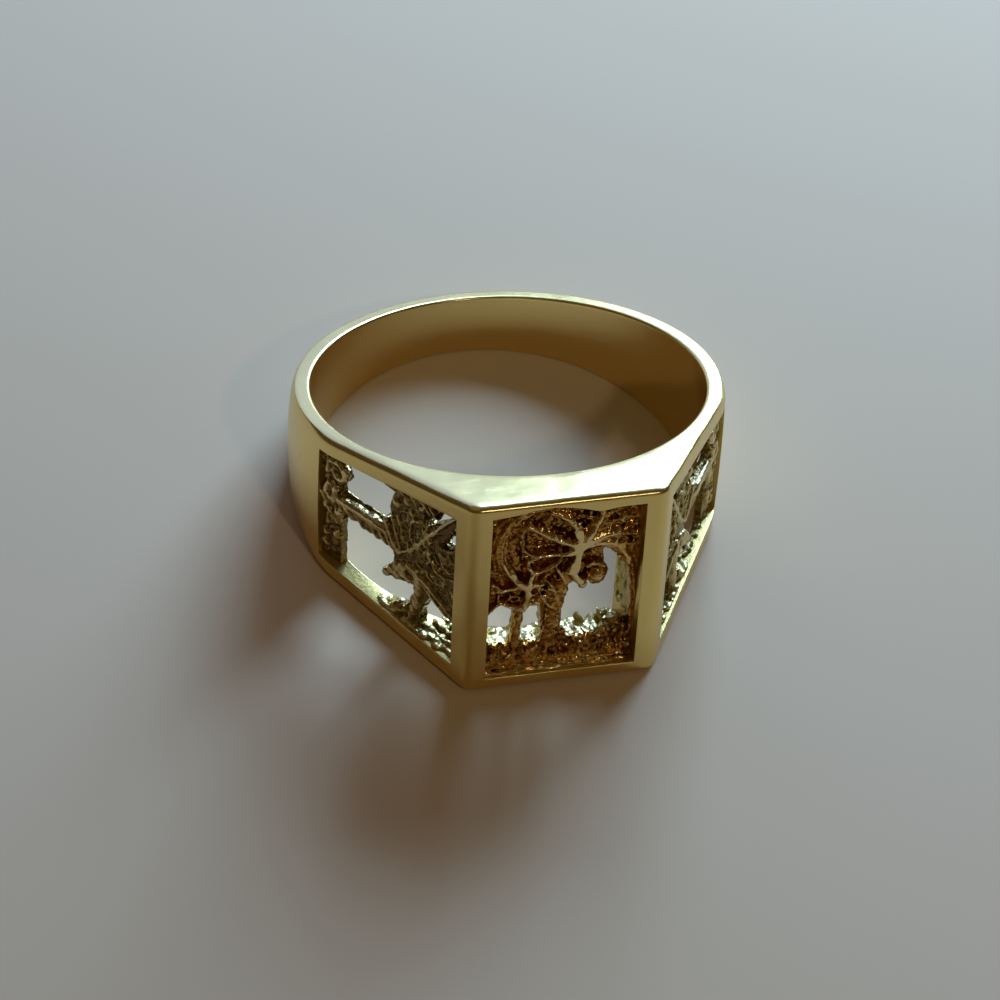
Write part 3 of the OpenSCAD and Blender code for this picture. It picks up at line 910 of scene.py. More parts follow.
def front_bank(bm, draw):
    """The grassy bank at the window's foot: ledges, tufts, and leafy lumps back to the bore."""
    for v, half, crest, deep in BANK_LEDGES:
        rod(
            bm, [(-3.7, v), (3.7, v)], (half, half), (crest, crest), (deep, deep),
            rings=90, bark=trunk_bark(27 + 40 * half, 0.3, 0.5),
        )
    for v, depth, size, count in BANK_TUFTS:
        for i in range(count):
            u = along(-3.45, 3.45, (i + draw.uniform(0.1, 0.9)) / count)
            for lean in (-28, -8, 10, 30):
                angle = math.radians(lean + draw.uniform(-9, 9))
                length = size * draw.uniform(0.5, 1.1)
                sunk = depth + draw.uniform(-0.28, 0.25)
                blade(
                    bm, (u, v, depth), (u + math.sin(angle) * length, v + math.cos(angle) * length, sunk),
                    draw.uniform(0.10, 0.15), 0.13, point=0.3,
                )
    # Leafy lumps on the hollow's floor, flat on top, which climb to a shrub at the right
    for _ in range(64):
        u, depth = draw.uniform(-3.2, 3.2), draw.uniform(1.30, 2.45)
        climb = 0.95 * smooth_step((u - 1.6) / 1.5)
        r, v = draw.uniform(0.26, 0.46), -3.98 + draw.uniform(0.0, 0.22 + climb)
        lean, tip = draw.uniform(-0.6, 0.6), draw.uniform(-0.6, 0.45)
        turn = Matrix.Rotation(lean, 4, "Z") @ Matrix.Rotation(tip, 4, "X")
        lump(bm, (u, v, depth), r, (1.1, 0.5, 0.9), turn)
    # Leafy lumps on the hollow's right wall, which slants inwards
    for _ in range(170):
        depth, r = draw.uniform(1.4, 2.9), draw.uniform(0.16, 0.30)
        u, v = 3.62 - 0.19 * (depth - 1.65), draw.uniform(-3.0, 1.9)
        turn = Matrix.Rotation(draw.uniform(-0.3, 0.3), 4, "Z")
        lump(bm, (u, v, depth), r, (0.6, 1.2, 0.9), turn)
    # One broad leaf that catches the light, and the thin edge of another
    blade(bm, (1.62, -3.85, 1.75), (1.18, -3.25, 2.30), 0.30, 0.12, point=0.7)
    thin = [(2.10, -2.55), (2.25, -3.40), (2.85, -3.95)]
    rod(bm, thin, (0.06, 0.06), (1.55, 1.45), (0.2, 0.2), flat=1.0)


def leaflets(bm, draw, points, crest, reach, drop, pitch=0.19, lean=42, leaf=0.1):
    """Pointed leaflets on both sides of a curve, leaning forward and sinking away from it."""
    count = max(3, round(curve_length(points) / pitch))
    for i in range(count):
        t = (i + 0.6) / count
        place, ahead = curve_at(points, t)
        length = reach * (0.5 + 0.5 * math.sin(math.pi * t ** 0.8))
        depth = along(*crest, t)
        for side in (-1, 1):
            angle = math.radians(lean * draw.uniform(0.75, 1.25)) * side
            toward = Matrix.Rotation(angle, 2) @ ahead
            end = place + toward * length * draw.uniform(0.8, 1.15)
            sunk = depth + drop * draw.uniform(0.7, 1.3)
            blade(bm, (place.x, place.y, depth + 0.1), (end.x, end.y, sunk), leaf, leaf * 1.2)


FRONT_GAPS = [
    [
        (0.34, 0.20), (0.70, 0.10), (1.30, 0.20), (1.98, 0.40), (1.96, 1.35), (1.95, 1.85),
        (2.55, 1.45), (3.05, 1.10), (3.34, 0.20), (3.42, -1.00), (3.40, -3.60), (0.20, -3.60),
        (0.12, -1.70), (0.30, -0.80),
    ],
    [
        (-1.72, -1.00), (-1.42, -0.62), (-1.00, -0.82), (-0.88, -1.80), (-0.72, -3.60), (-1.78, -3.60),
        (-1.75, -2.00),
    ],
    [(-2.98, -0.62), (-2.35, -0.62), (-2.10, -1.60), (-2.12, -3.60), (-3.42, -3.60), (-3.42, -1.35)],
]

SIDE_GAPS = [
    # Over the trunk
    [(5.25, 3.90), (8.95, 3.50), (8.95, 1.20), (8.70, 0.86), (5.62, 0.86), (5.50, 1.50), (5.75, 2.15)],
    # On each side of the frond that runs up to the post
    [(1.14, 4.22), (2.90, 3.95), (3.50, 3.00), (3.45, 2.20), (2.65, 2.78), (1.75, 3.42), (1.14, 3.98)],
    [(1.14, 3.32), (1.75, 2.85), (2.60, 2.20), (2.50, 1.65), (1.90, 1.70), (1.14, 2.35)],
]

SIDE_NOTCH = [
    # The screen's lower edge, from the shank to the corner post. Below it the window is open down to
    # the sill, but for the lower trunk
    (8.85, -4.00), (8.85, -0.60), (8.20, 0.12), (5.45, 0.02), (5.35, -0.95), (5.78, -1.70),
    (5.40, -2.00), (4.40, -1.62), (3.92, -1.52), (3.78, -2.05), (4.40, -2.90), (4.95, -4.30),
    (3.65, -4.30), (3.65, -2.90), (3.20, -2.15), (2.75, -1.45), (2.25, -2.00), (1.30, -2.40),
]

SIDE_ARMS = [
    # Strands of the long frond that runs up to the corner post
    ([(5.05, -0.10), (3.75, 0.42), (2.75, 2.70), (1.00, 4.32)], (0.11, 0.10), (0.22, 0.12)),
    ([(5.00, -0.34), (3.60, 0.16), (2.60, 2.50), (0.95, 4.02)], (0.15, 0.14), (0.40, 0.44)),
    ([(4.80, -0.52), (3.42, -0.08), (2.42, 2.24), (0.95, 3.72)], (0.11, 0.10), (0.38, 0.52)),
    # Low leaves towards the post
    ([(4.35, -0.45), (3.05, -0.60), (1.20, -2.05)], (0.17, 0.14), (0.12, 0.20)),
    ([(4.25, -0.70), (3.00, -1.05), (1.60, -2.25)], (0.15, 0.12), (0.18, 0.26)),
    ([(3.55, -0.15), (2.30, -0.45), (1.10, -1.45)], (0.12, 0.10), (0.22, 0.30)),
    # Leaf edges of the crown beside the upper gap
    ([(4.02, 3.98), (3.35, 3.75), (2.92, 3.02)], (0.09, 0.08), (0.14, 0.20)),
    ([(3.62, 4.05), (2.82, 3.75), (2.70, 2.98)], (0.09, 0.08), (0.20, 0.24)),
    ([(4.45, 3.80), (3.85, 3.40), (3.72, 2.60)], (0.09, 0.07), (0.20, 0.26)),
    ([(5.95, 3.55), (5.60, 3.20), (5.15, 3.35)], (0.12, 0.14), (0.16, 0.22)),
    # Sheaths that fan out of the trunk into the crown
    ([(5.90, 1.45), (5.50, 0.45), (4.95, -0.12)], (0.20, 0.13), (0.14, 0.18)),
    ([(5.48, 1.98), (5.30, 0.85), (4.68, -0.02)], (0.13, 0.16), (0.26, 0.20)),
    ([(5.10, 2.05), (4.75, 1.35), (4.62, 0.35)], (0.21, 0.08), (0.18, 0.28)),
    # Rim of the crown's dark pit
    ([(4.10, 2.20), (4.45, 1.10), (3.70, 0.78)], (0.10, 0.08), (0.14, 0.20)),
    ([(4.10, 2.20), (3.55, 2.75), (3.05, 2.20)], (0.10, 0.08), (0.16, 0.24)),
    # Curls beside the post
    ([(2.95, 0.95), (2.40, -0.25), (1.05, 0.45)], (0.12, 0.10), (0.16, 0.24)),
    ([(2.30, 1.45), (1.95, 0.15), (1.05, 1.05)], (0.10, 0.08), (0.20, 0.26)),
    ([(1.75, 1.55), (1.35, 1.05), (1.00, 1.55)], (0.09, 0.08), (0.22, 0.28)),
]

ROOT_LINES = [
    # Knots between the trunk's root and the shank, round a dark hollow near the top
    ([(8.45, 2.05), (8.80, 2.95), (9.45, 2.62)], (0.20, 0.16), (0.12, 0.20)),
    ([(8.48, 2.20), (8.85, 1.70), (9.40, 2.05)], (0.18, 0.16), (0.12, 0.20)),
    ([(9.45, 2.75), (9.95, 2.45), (9.70, 1.75)], (0.17, 0.17), (0.18, 0.20)),
    ([(9.55, 1.45), (9.95, 1.00), (9.80, 0.30)], (0.22, 0.18), (0.16, 0.22)),
    ([(9.05, 1.35), (9.40, 0.80), (9.20, 0.20)], (0.20, 0.18), (0.14, 0.20)),
    ([(8.75, 0.05), (9.05, -0.35), (8.90, -0.90)], (0.20, 0.16), (0.14, 0.22)),
    ([(9.45, -0.20), (9.85, -0.60), (9.60, -1.20)], (0.22, 0.18), (0.16, 0.22)),
    ([(8.95, -1.20), (9.30, -1.70), (9.10, -2.20)], (0.22, 0.20), (0.18, 0.26)),
    ([(9.75, -1.60), (9.95, -2.10), (9.60, -2.60)], (0.20, 0.18), (0.20, 0.28)),
]

SIDE_CUPS = [
    # Place, radius, depth of the rim
    (1.62, 0.85, 0.20, 0.24),
    (2.15, 0.48, 0.16, 0.24),
    (9.30, -0.75, 0.24, 0.24),
    (3.35, 3.25, 0.16, 0.30),
]

SIDE_NUTS = [
    # Place, radius, depth of the centre: the crown's knots, the hanging cluster, and then the root
    (5.18, 2.66, 0.44, 0.66),
    (4.55, 3.05, 0.33, 0.58),
    (4.18, 2.58, 0.26, 0.50),
    (4.88, 3.40, 0.26, 0.54),
    (5.66, -1.66, 0.26, 0.36),
    (5.34, -1.28, 0.27, 0.36),
    (4.98, -1.38, 0.28, 0.40),
    (4.98, -0.92, 0.26, 0.34),
    (4.60, -1.10, 0.28, 0.40),
    (4.58, -0.72, 0.26, 0.34),
    (4.25, -1.30, 0.22, 0.38),
    (8.46, 2.52, 0.26, 0.34),
    (9.55, 0.55, 0.30, 0.46),
    (9.00, -0.10, 0.26, 0.40),
    (9.85, -0.10, 0.24, 0.42),
    (9.10, -1.55, 0.28, 0.46),
]

TRUNK_PATH = [(10.2, 0.50), (7.40, 0.42), (4.70, 0.20)]

LOWER_TRUNK = [(3.72, -0.55), (3.35, -2.00), (4.35, -3.95)]

SILL_RIDGES = [
    # Depth of the crest, how far the ridge reaches from the corner post, and its lift above the sill
    (0.22, 3.3, 0.04),
    (0.55, 3.6, 0.10),
    (1.00, 3.5, 0.16),
    (1.45, 3.3, 0.20),
    (1.85, 3.0, 0.24),
]


def side_relief_parts(bm):
    """A shoulder window's casting: a palm that lies along the shoulder, with its root at the shank."""
    draw = random.Random(23)
    near, far = SIDE_WIN_NEAR - SIDE_LAP, SIDE_WIN_FAR + END_LAP
    near_top, far_top = side_win_rise(near) + END_LAP, side_win_rise(far) + END_LAP
    outline = [(near, near_top), (far, far_top), (far, -far_top)]
    outline += [(s, max(v, -side_win_rise(s) - END_LAP)) for s, v in SIDE_NOTCH] + [(near, -2.45)]
    gaps = [clipped_gap(g) for g in SIDE_GAPS]
    screen(bm, soft_corners(outline, 0.16), [soft_corners(g) for g in gaps], SIDE_SINK, SCREEN_T)
    litter(bm, draw, (1.2, -2.0), (5.2, 3.9), (0.34, 0.46), 150, gaps + [SIDE_NOTCH])
    litter(bm, draw, (8.9, -2.9), (10.1, 2.9), (0.32, 0.44), 80, gaps)
    litter(bm, draw, (1.2, -0.6), (3.8, 3.6), (0.26, 0.40), 80, gaps)
    side_trunk(bm, draw)
    for points, wide, crest in SIDE_ARMS:
        rod(bm, points, wide, crest, (0.4, 0.4), rings=14, flat=1.0)
    for points, wide, crest in ROOT_LINES:
        rod(bm, points, wide, crest, (0.35, 0.35), rings=12, flat=0.9)
    for points, wide, crest in SIDE_ARMS[1:4]:
        leaflets(bm, draw, points, crest, reach=0.34, drop=0.24, pitch=0.22)
    for points, wide, crest in SIDE_ARMS[:3]:
        leaflets(bm, draw, points, crest, reach=0.42, drop=0.04, pitch=0.26, lean=16, leaf=0.07)
    for u, v, r, depth in SIDE_NUTS:
        nut(bm, u, v, r, depth)
    for u, v, r, depth in SIDE_CUPS:
        cup(bm, draw, u, v, r, depth)
    side_bank(bm, draw)


def right_relief_parts(bm):
    """The right shoulder's casting, which has a rough sill too."""
    draw = random.Random(41)
    side_relief_parts(bm)
    count = 120
    for i in range(count):
        s = along(1.2, 9.7, (i + draw.uniform(0.0, 1.0)) / count)
        r, v = draw.uniform(0.10, 0.20), draw.uniform(0.0, 0.06) - side_win_rise(s)
        lump(bm, (s, v, draw.uniform(0.38, 1.1)), r, (1.2, 1.1, 1.0))


def side_trunk(bm, draw):
    """The trunk that lies along the shoulder: a boxy core with a lit ledge, and slanting leaf sheaths."""
    rod(bm, TRUNK_PATH, (0.38, 0.34), (0.40, 0.38), (0.6, 0.6), rings=30, sides=16, boxy=0.5)
    # The ledge, and the strip deeper down behind it that closes its back
    rod(
        bm, [(9.0, 0.65), (6.9, 0.71), (5.2, 0.57)], (0.23, 0.22), (0.16, 0.18), (0.28, 0.26),
        rings=24, sides=16, boxy=0.65, flat=1.0,
    )
    rod(
        bm, [(9.0, 0.84), (6.9, 0.90), (5.2, 0.78)], (0.16, 0.16), (0.66, 0.66), (0.12, 0.12),
        rings=20, boxy=0.5, flat=1.0,
    )
    count = 10
    for i in range(count):
        t = (i + draw.uniform(0.35, 0.65)) / count
        place, _ = curve_at(TRUNK_PATH, t)
        slant = draw.uniform(0.85, 1.15)
        points = [
            (place.x + 0.40 * slant, place.y + draw.uniform(0.30, 0.42)),
            (place.x + 0.04, place.y - 0.10),
            (place.x - 0.34 * slant, place.y - draw.uniform(0.50, 0.66)),
        ]
        wide = draw.uniform(0.9, 1.2)
        rod(bm, points, (0.15 * wide, 0.24 * wide), (0.14, 0.26), (0.4, 0.5), rings=8, flat=1.0)
    # The lower trunk stands on the sill
    rod(
        bm, LOWER_TRUNK, (0.30, 0.42), (0.16, 0.22), (0.45, 0.45),
        rings=50, sides=12, flat=1.0, bark=trunk_bark(8, 0.3, 0.08),
    )
    leaflets(bm, draw, LOWER_TRUNK, (0.20, 0.26), reach=0.4, drop=0.14, pitch=0.3, lean=24, leaf=0.11)
    # A root that runs from its foot along the sill
    rod(
        bm, [(4.10, -3.20), (4.85, -3.62), (5.95, -3.66)], (0.42, 0.16), (0.28, 0.30), (0.45, 0.40),
        rings=24, sides=12, flat=1.0, bark=trunk_bark(5, 0.3, 0.2),
    )


def clipped_gap(gap):
    """A gap kept inside the shoulder window."""
    return [(u, max(-side_win_rise(u) + 0.05, min(side_win_rise(u) - 0.05, v))) for u, v in gap]


def side_bank(bm, draw):
    """Ridges along the sill beside the corner post, and small leafy lumps where the sill runs on."""
    for crest, reach, lift in SILL_RIDGES:
        points = [(0.95, lift - side_win_rise(0.95)), (reach, lift - side_win_rise(reach))]
        rod(
            bm, points, (0.20, 0.14), (crest, crest + 0.1), (0.17, 0.17),
            rings=40, flat=1.0, bark=ridge_waves(5 * crest),
        )
    for _ in range(60):
        s = draw.uniform(1.1, 6.3)
        reach = along(1.8, 0.75, smooth_step((s - 1.5) / 3.5))
        r, depth = draw.uniform(0.10, 0.2), draw.uniform(0.20, reach)
        lump(bm, (s, 0.06 - side_win_rise(s), depth), r, (1.5, 0.8, 1))


def fused(bm):
    """The pieces of a relief run together into one casting."""
    rough = mesh_of(bm, "rough")
    holder = new_object("holder", rough)
    remesh = holder.modifiers.new("fuse", "REMESH")
    remesh.mode = "VOXEL"
    remesh.voxel_size = VOXEL
    seen = holder.evaluated_get(bpy.context.evaluated_depsgraph_get())
    mesh = bpy.data.meshes.new_from_object(seen)
    bpy.data.objects.remove(holder)
    bpy.data.meshes.remove(rough)
    return mesh


def finish_casting(mesh, grain):
    """Softens the voxels, roughens the skin as the mould left it, and buffs the highest crests flat."""
    bm = bmesh.new()
    bm.from_mesh(mesh)
    for _ in range(2):
        bmesh.ops.smooth_vert(
            bm, verts=bm.verts, factor=0.5, use_axis_x=True, use_axis_y=True, use_axis_z=True
        )
    bm.normal_update()
    for v in bm.verts:
        sunk = smooth_step((-v.co.z - POLISH_DEPTH) / 0.6)
        bump = noise.fractal(v.co * GRAIN_SCALE, 0.8, 2.1, 3) * along(0.3, 1.0, sunk) * grain
        v.co += v.normal * bump
        v.co.z = min(v.co.z, -POLISH_DEPTH)
    for f in bm.faces:
        f.smooth = True
    bm.to_mesh(mesh)
    bm.free()


def mark_hollows(mesh, ground):
    """Stores how far each vertex lies in a hollow, for the tarnish and painted shade: 0 on a crest, 1 on
    the ground.
    """
    count = len(mesh.vertices)
    co = np.empty(count * 3)
    mesh.vertices.foreach_get("co", co)
    co = co.reshape(-1, 3)
    normal = np.empty(count * 3)
    mesh.vertices.foreach_get("normal", normal)
    normal = normal.reshape(-1, 3)
    edge = np.empty(len(mesh.edges) * 2, int)
    mesh.edges.foreach_get("vertices", edge)
    edge = edge.reshape(-1, 2)
    near = np.bincount(edge.ravel(), minlength=count)[:, None]
    even = co.copy()
    for _ in range(EVEN_ROUNDS):
        total = np.zeros_like(even)
        np.add.at(total, edge[:, 0], even[edge[:, 1]])
        np.add.at(total, edge[:, 1], even[edge[:, 0]])
        even = 0.5 * even + 0.5 * total / near
    cavity = ((even - co) * normal).sum(1) / FULL_HOLLOW
    depth = -co[:, 2]
    # Tarnish and painted shade gather in hollows and deep down, less on the screen's back; sides facing
    # up are painted lighter, as if lit from above
    buried = np.clip((depth - POLISH_DEPTH) / (ground - POLISH_DEPTH), 0, 1) ** 0.75
    open_back = np.clip((depth - ground - 0.3) / 0.5, 0, 1)
    lit_upper_sides = 0.55 * np.clip((normal[:, 1] - 0.5) / 0.4, 0, 1)
    value = np.clip(0.40 * cavity + 0.9 * buried, 0, 1) * (1 - 0.45 * open_back) * (1 - lit_upper_sides)
    layer = mesh.attributes.new("hollow", "FLOAT", "POINT")
    layer.data.foreach_set("value", value.astype(np.float32))


def keep_inside(mesh):
    """Keeps the casting out of the finger hole and below the band's side faces."""
    for v in mesh.vertices:
        r = math.hypot(v.co.x, v.co.y)
        if r < FINGER_R + BORE_CLEAR:
            grow = (FINGER_R + BORE_CLEAR) / r
            v.co.x *= grow
            v.co.y *= grow
        limit = half_width_at(v.co.y) - SIDE_CLEAR
        v.co.z = min(max(v.co.z, -limit), limit)


def relief_mesh(name, parts, panel, grain, ground, pale_skin_at):
    """One window's casting. Its last argument tells which of its places keep the paler, rougher skin,
    which is partly painted light.
    """
    bm = bmesh.new()
    parts(bm)
    mesh = fused(bm)
    mesh.name = name
    finish_casting(mesh, grain)
    mark_hollows(mesh, ground)
    for face in mesh.polygons:
        u, v, z = face.center
        face.material_index = int(pale_skin_at(u, v, -z))
    mesh.transform(panel)
    keep_inside(mesh)
    return mesh


def dress_relief(name, mesh, *skins):
    """Gives a casting its skins, the one with tarnish and painted shade first, and lays it in the part.
    """
    for material in skins:
        mesh.materials.append(material)
    lay_in_part(mesh)
    made = new_object(name, mesh)
    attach(made, "root")
    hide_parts("ring")


def far_behind(u, v, depth):
    """Whether a place lies deep behind the front window, where no hand reaches and the paler skin is
    partly painted light.
    """
    return depth > PALE_SKIN_DEPTH


def on_sill(u, v, depth):
    """Whether a place lies on the lumps along a shoulder window's sill."""
    return v < SILL_LUMP_TOP - side_win_rise(u)


def reliefs(brown, olive, olive_lit, pale):
    """The three castings. The left one is made like the right one and then mirrored."""
    front = relief_mesh(
        "relief_front", front_relief_parts, FRONT_PANEL, FRONT_GRAIN, FRONT_GROUND, far_behind
    )
    right = relief_mesh(
        "relief_right", right_relief_parts, SHOULDER_PANEL, SIDE_GRAIN, SIDE_GROUND, on_sill
    )
    left = relief_mesh(
        "relief_left", side_relief_parts, SHOULDER_PANEL, SIDE_GRAIN, SIDE_GROUND, on_sill
    )
    left.transform(Matrix.Diagonal((-1, 1, 1, 1)))
    left.flip_normals()
    dress_relief("relief_front", front, brown, pale)
    # The right casting wears a lighter copy of the left one's olive skin, painted light on the lit
    # shoulder
    dress_relief("relief_right", right, olive_lit, pale)
    dress_relief("relief_left", left, olive, pale)


# Materials

def linear(hex_colour):
    """An sRGB hex value as the linear colour that a shader reads."""
    parts = [int(hex_colour[i:i + 2], 16) / 255 for i in (1, 3, 5)]
    return tuple(c / 12.92 if c <= 0.04045 else ((c + 0.055) / 1.055) ** 2.4 for c in parts) + (1.0,)


def add_node(tree, kind, values, links, **settings):
    """One node with its sockets' values, the links into its sockets, and its own settings."""
    node = tree.nodes.new(kind)
    for name, value in settings.items():
        setattr(node, name, value)
    for name, value in values.items():
        node.inputs[name].default_value = value
    for name, source in links.items():
        tree.links.new(source, node.inputs[name])
    return node


def new_material(name):
    material = bpy.data.materials.new(name)
    material.use_nodes = True
    material.node_tree.nodes.clear()
    return material, material.node_tree


def scratches(tree, spot, turn, size, least, strength, under):
    """Fine scratches pressed into the surface.

    They are noise drawn out to a scratch's size along x, y and z in millimetres, of which only what
    passes least shows. They are wider than real ones, which are too fine to show.
    """
    drawn = add_node(
        tree, "ShaderNodeMapping", {"Rotation": turn, "Scale": [1 / (a * MM) for a in size]}, spot
    )
    streak = add_node(
        tree, "ShaderNodeTexNoise", {"Scale": 1.0, "Detail": 2.0}, {"Vector": drawn.outputs["Vector"]}
    )
    line = add_node(
        tree, "ShaderNodeMapRange", {"From Min": least, "From Max": 0.72},
        {"Value": streak.outputs["Fac"]},
    )
    return add_node(
        tree, "ShaderNodeBump", {"Strength": strength, "Distance": 0.004 * MM},
        {"Height": line.outputs["Result"], **under}, invert=True,
    )


def buffed_gold():
    """Pale yellow gold, cast and then buffed by hand.

    Its reflections are soft, with a faint haze in patches of 2.5 mm, the low waves of handwork about
    1.6 mm long, fine wiping scratches, and a few small casting pits up to 0.16 mm across.
    """
    material, tree = new_material("hand_buffed_yellow_gold")
    spot = {"Vector": add_node(tree, "ShaderNodeTexCoord", {}, {}).outputs["Object"]}
    haze = add_node(tree, "ShaderNodeTexNoise", {"Scale": 1 / (2.5 * MM), "Detail": 3.0}, spot)
    rough = add_node(
        tree, "ShaderNodeMapRange", {"To Min": 0.21, "To Max": 0.30}, {"Value": haze.outputs["Fac"]}
    )
    wave = add_node(tree, "ShaderNodeTexNoise", {"Scale": 1 / (1.6 * MM), "Detail": 1.0}, spot)
    waved = add_node(
        tree, "ShaderNodeBump", {"Strength": 0.5, "Distance": 0.055 * MM}, {"Height": wave.outputs["Fac"]}
    )
    scratched = scratches(
        tree, spot, (0.0, 0.4, 0.7), (5, 0.06, 5), 0.60, 0.35, {"Normal": waved.outputs["Normal"]}
    )
    cell = add_node(tree, "ShaderNodeTexVoronoi", {"Scale": 1 / (1.9 * MM)}, spot)
    pit = add_node(
        tree, "ShaderNodeMapRange", {"From Min": 0.018, "From Max": 0.042},
        {"Value": cell.outputs["Distance"]},
    )
    pitted = add_node(
        tree, "ShaderNodeBump", {"Strength": 1.0, "Distance": 0.05 * MM},
        {"Height": pit.outputs["Result"], "Normal": scratched.outputs["Normal"]},
    )
    shader = add_node(
        tree, "ShaderNodeBsdfPrincipled", {"Base Color": linear("#e8cc82"), "Metallic": 1.0},
        {"Roughness": rough.outputs["Result"], "Normal": pitted.outputs["Normal"]},
    )
    add_node(tree, "ShaderNodeOutputMaterial", {}, {"Surface": shader.outputs["BSDF"]})
    return material


def bore_gold():
    """The finger hole's gold, burnished by wear: brighter, with scratches that run round it."""
    material, tree = new_material("worn_bore_gold")
    spot = {"Vector": add_node(tree, "ShaderNodeTexCoord", {}, {}).outputs["Object"]}
    scratched = scratches(tree, spot, (0.3, 0.0, 0.0), (3, 3, 0.05), 0.56, 0.3, {})
    shader = add_node(
        tree, "ShaderNodeBsdfPrincipled",
        {"Base Color": linear("#efd48f"), "Metallic": 1.0, "Roughness": 0.16},
        {"Normal": scratched.outputs["Normal"]},
    )
    add_node(tree, "ShaderNodeOutputMaterial", {}, {"Surface": shader.outputs["BSDF"]})
    return material


def wall_gold():
    """The window walls' gold, as the mould left it.

    The walls are too narrow to buff, so they are satin, with a grain 0.22 mm coarse.
    """
    material, tree = new_material("as_cast_gold_window_wall")
    spot = {"Vector": add_node(tree, "ShaderNodeTexCoord", {}, {}).outputs["Object"]}
    grain = add_node(tree, "ShaderNodeTexNoise", {"Scale": 1 / (0.22 * MM), "Detail": 3.0}, spot)
    grained = add_node(
        tree, "ShaderNodeBump", {"Strength": 0.5, "Distance": 0.03 * MM}, {"Height": grain.outputs["Fac"]}
    )
    shader = add_node(
        tree, "ShaderNodeBsdfPrincipled",
        {"Base Color": linear("#d6bc70"), "Metallic": 1.0, "Roughness": 0.36},
        {"Normal": grained.outputs["Normal"]},
    )
    add_node(tree, "ShaderNodeOutputMaterial", {}, {"Surface": shader.outputs["BSDF"]})
    return material


def relief_gold(name, crest, flank, ground, gloss):
    """Gold left as the mould cast it, tarnished where no buff reached, and painted with shade in its
    hollows.

    The rubbed crests are satin, and the darker skin of the hollows, tarnish and painted shade, still
    glints from its grain, which is 0.13 mm coarse. gloss is the roughness on the crests and on the
    ground.
    """
    material, tree = new_material(name)
    spot = {"Vector": add_node(tree, "ShaderNodeTexCoord", {}, {}).outputs["Object"]}
    hollow = add_node(tree, "ShaderNodeAttribute", {}, {}, attribute_name="hollow")
    # The ramp paints the hollow value as colour: tarnish and painted shade in hollows and deep down
    tone = add_node(tree, "ShaderNodeValToRGB", {}, {"Fac": hollow.outputs["Fac"]})
    tone.color_ramp.elements[0].position = 0.05
    tone.color_ramp.elements[0].color = linear(crest)
    tone.color_ramp.elements[1].position = 0.85
    tone.color_ramp.elements[1].color = linear(ground)
    tone.color_ramp.elements.new(0.4).color = linear(flank)
    rough = add_node(
        tree, "ShaderNodeMapRange", {"To Min": gloss[0], "To Max": gloss[1]},
        {"Value": hollow.outputs["Fac"]},
    )
    grain = add_node(tree, "ShaderNodeTexNoise", {"Scale": 1 / (0.13 * MM), "Detail": 2.0}, spot)
    grained = add_node(
        tree, "ShaderNodeBump", {"Strength": 0.8, "Distance": 0.035 * MM},
        {"Height": grain.outputs["Fac"]},
    )
    shader = add_node(tree, "ShaderNodeBsdfPrincipled", {"Metallic": 1.0}, {
        "Base Color": tone.outputs["Color"],
        "Roughness": rough.outputs["Result"],
        "Normal": grained.outputs["Normal"],
    })
    add_node(tree, "ShaderNodeOutputMaterial", {}, {"Surface": shader.outputs["BSDF"]})
    return material


def floor_paper():
    """Plain matt card: it gives no shine, only soft shadow and the gold's warm light."""
    material, tree = new_material("matt_pale_card")
    shader = add_node(
        tree, "ShaderNodeBsdfPrincipled", {"Base Color": linear("#e0c49b"), "Roughness": 0.9}, {}
    )
    add_node(tree, "ShaderNodeOutputMaterial", {}, {"Surface": shader.outputs["BSDF"]})
    return material


# Floor, camera and light. The camera is fitted to the photo, with its focus and axis in pixels.

FLOOR_HALF = 600
PHOTO_SIZE = 1000
SENSOR = 36.0
CAMERA_FOCUS = 3459.36
AXIS_PIXEL = (506.36, 426.25)
CAMERA_DISTANCE = 167.46
CAMERA_RISE = math.radians(46.3)
CAMERA_TURN = math.radians(17.66)
CAMERA_ROLL = math.radians(7.01)
CAMERA_AIM = 4.0


def floor():
    bm = bmesh.new()
    bmesh.ops.create_grid(bm, x_segments=1, y_segments=1, size=FLOOR_HALF * MM)
    mesh = mesh_of(bm, "floor")
    mesh.materials.append(floor_paper())
    made = new_object("floor", mesh)


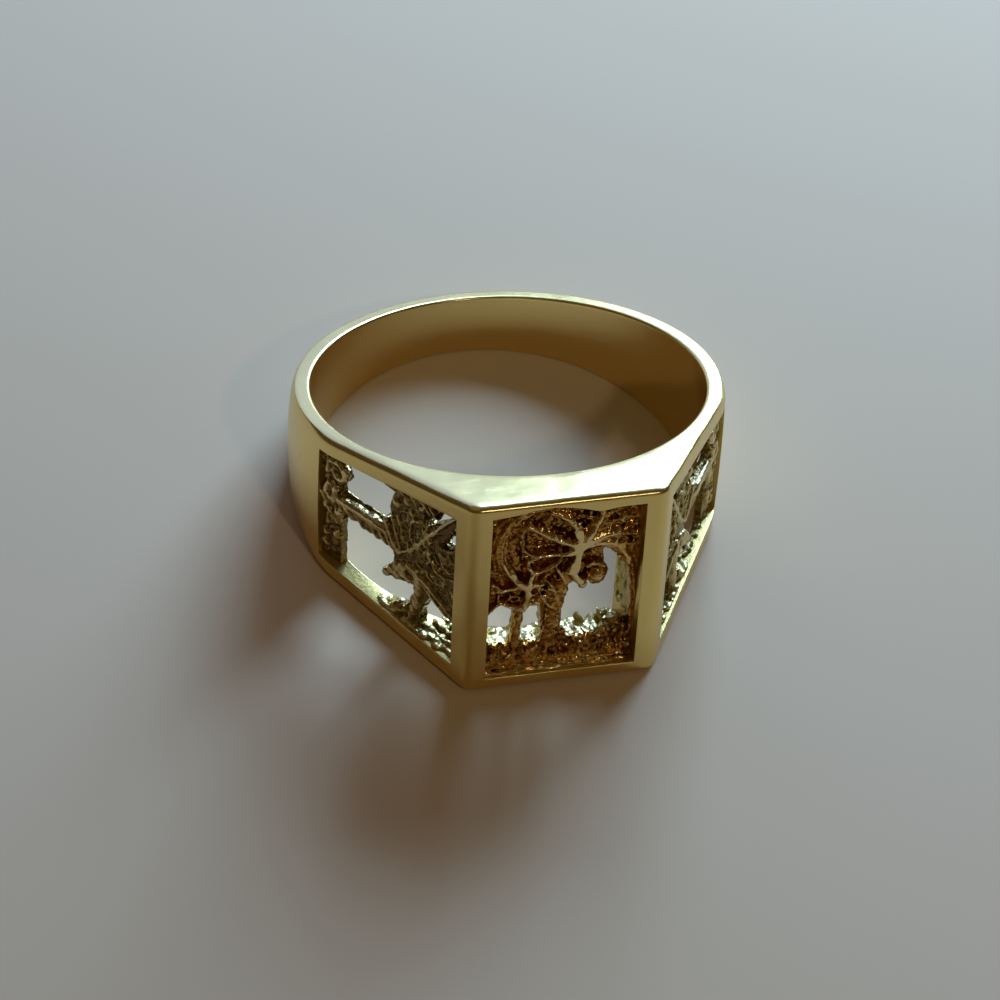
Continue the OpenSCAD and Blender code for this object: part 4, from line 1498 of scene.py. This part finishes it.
def camera():
    data = bpy.data.cameras.new("camera")
    data.sensor_width = SENSOR
    data.lens = CAMERA_FOCUS / PHOTO_SIZE * SENSOR
    data.shift_x = 0.5 - AXIS_PIXEL[0] / PHOTO_SIZE
    data.shift_y = AXIS_PIXEL[1] / PHOTO_SIZE - 0.5
    data.clip_start = 0.01
    made = new_object("camera", data)
    ahead = Vector((0, math.cos(CAMERA_RISE), -math.sin(CAMERA_RISE)))
    right = Vector((1, 0, 0))
    up = right.cross(ahead)
    x_axis = right * math.cos(CAMERA_ROLL) + up * math.sin(CAMERA_ROLL)
    y_axis = up * math.cos(CAMERA_ROLL) - right * math.sin(CAMERA_ROLL)
    spot = Vector((0, 0, CAMERA_AIM)) - ahead * CAMERA_DISTANCE
    turn = Matrix.Rotation(-CAMERA_TURN, 4, "Z")
    axes = Matrix((x_axis, y_axis, -ahead)).transposed().to_4x4()
    bore_y = RING_TO_PART.translation.y
    made.matrix_world = (
        Matrix.Translation((0, bore_y, 0)) @ turn @ Matrix.Translation(spot * MM) @ axes
    )
    bpy.context.scene.camera = made


def soft_box(name, centre, aim, width, height, power, colour):
    """One soft light. Lengths are in millimetres from the middle of the floor, and power is in watts."""
    data = bpy.data.lights.new(name, "AREA")
    data.shape = "RECTANGLE"
    data.size = width * MM
    data.size_y = height * MM
    data.energy = power
    data.color = linear(colour)[:3]
    made = new_object(name, data)
    spot = Vector(centre) * MM
    made.location = spot
    made.rotation_mode = "QUATERNION"
    made.rotation_quaternion = (Vector(aim) * MM - spot).to_track_quat("-Z", "Y")


def lights():
    """Cool window light from behind, most of it on the right, a small warm lamp and a dim warm room."""
    soft_box("window_light", (106, 169, 98), (0, 0, 10), 128, 158, 1.14, "#a0c8ff")
    soft_box("curtain_glow", (-22, 198, 75), (0, 0, 10), 136, 150, 0.088, "#96b6ff")
    soft_box("ceiling_lamp", (62, -205, 210), (0, 0, 5), 14, 14, 0.056, "#fff4e8")
    soft_box("ceiling_bounce", (-90, 60, 260), (0, 0, 0), 220, 220, 0.015, "#ffe2b4")
    world = bpy.data.worlds.new("dim_room")
    world.use_nodes = True
    glow = world.node_tree.nodes["Background"].inputs
    glow["Color"].default_value = linear("#ffd892")
    glow["Strength"].default_value = 0.062
    bpy.context.scene.world = world
    bpy.context.scene.view_settings.view_transform = "Standard"


ring_band = band()
ring_band.data.materials.append(buffed_gold())
ring_band.data.materials.append(bore_gold())
ring_band.data.materials.append(wall_gold())
reliefs(
    relief_gold("as_cast_gold_brown_tarnish_and_painted_shade", "#e6cc90", "#ca9b4e", "#a47434", (0.18, 0.10)),
    relief_gold("as_cast_gold_olive_tarnish_and_painted_shade", "#dcc68c", "#a08a50", "#725c38", (0.20, 0.11)),
    # A lighter copy of the olive skin, painted light, for the right shoulder
    relief_gold("as_cast_gold_olive_painted_lit_copy", "#e0cc92", "#b8a468", "#8c7844", (0.30, 0.20)),
    # A paler, rougher skin for the places deep behind and on the sills: unbuffed, and partly painted
    # light
    relief_gold("as_cast_gold_paler_skin_partly_painted_light", "#e0cc8c", "#b29e60", "#887646", (0.36, 0.30)),
)
floor()
camera()
lights()
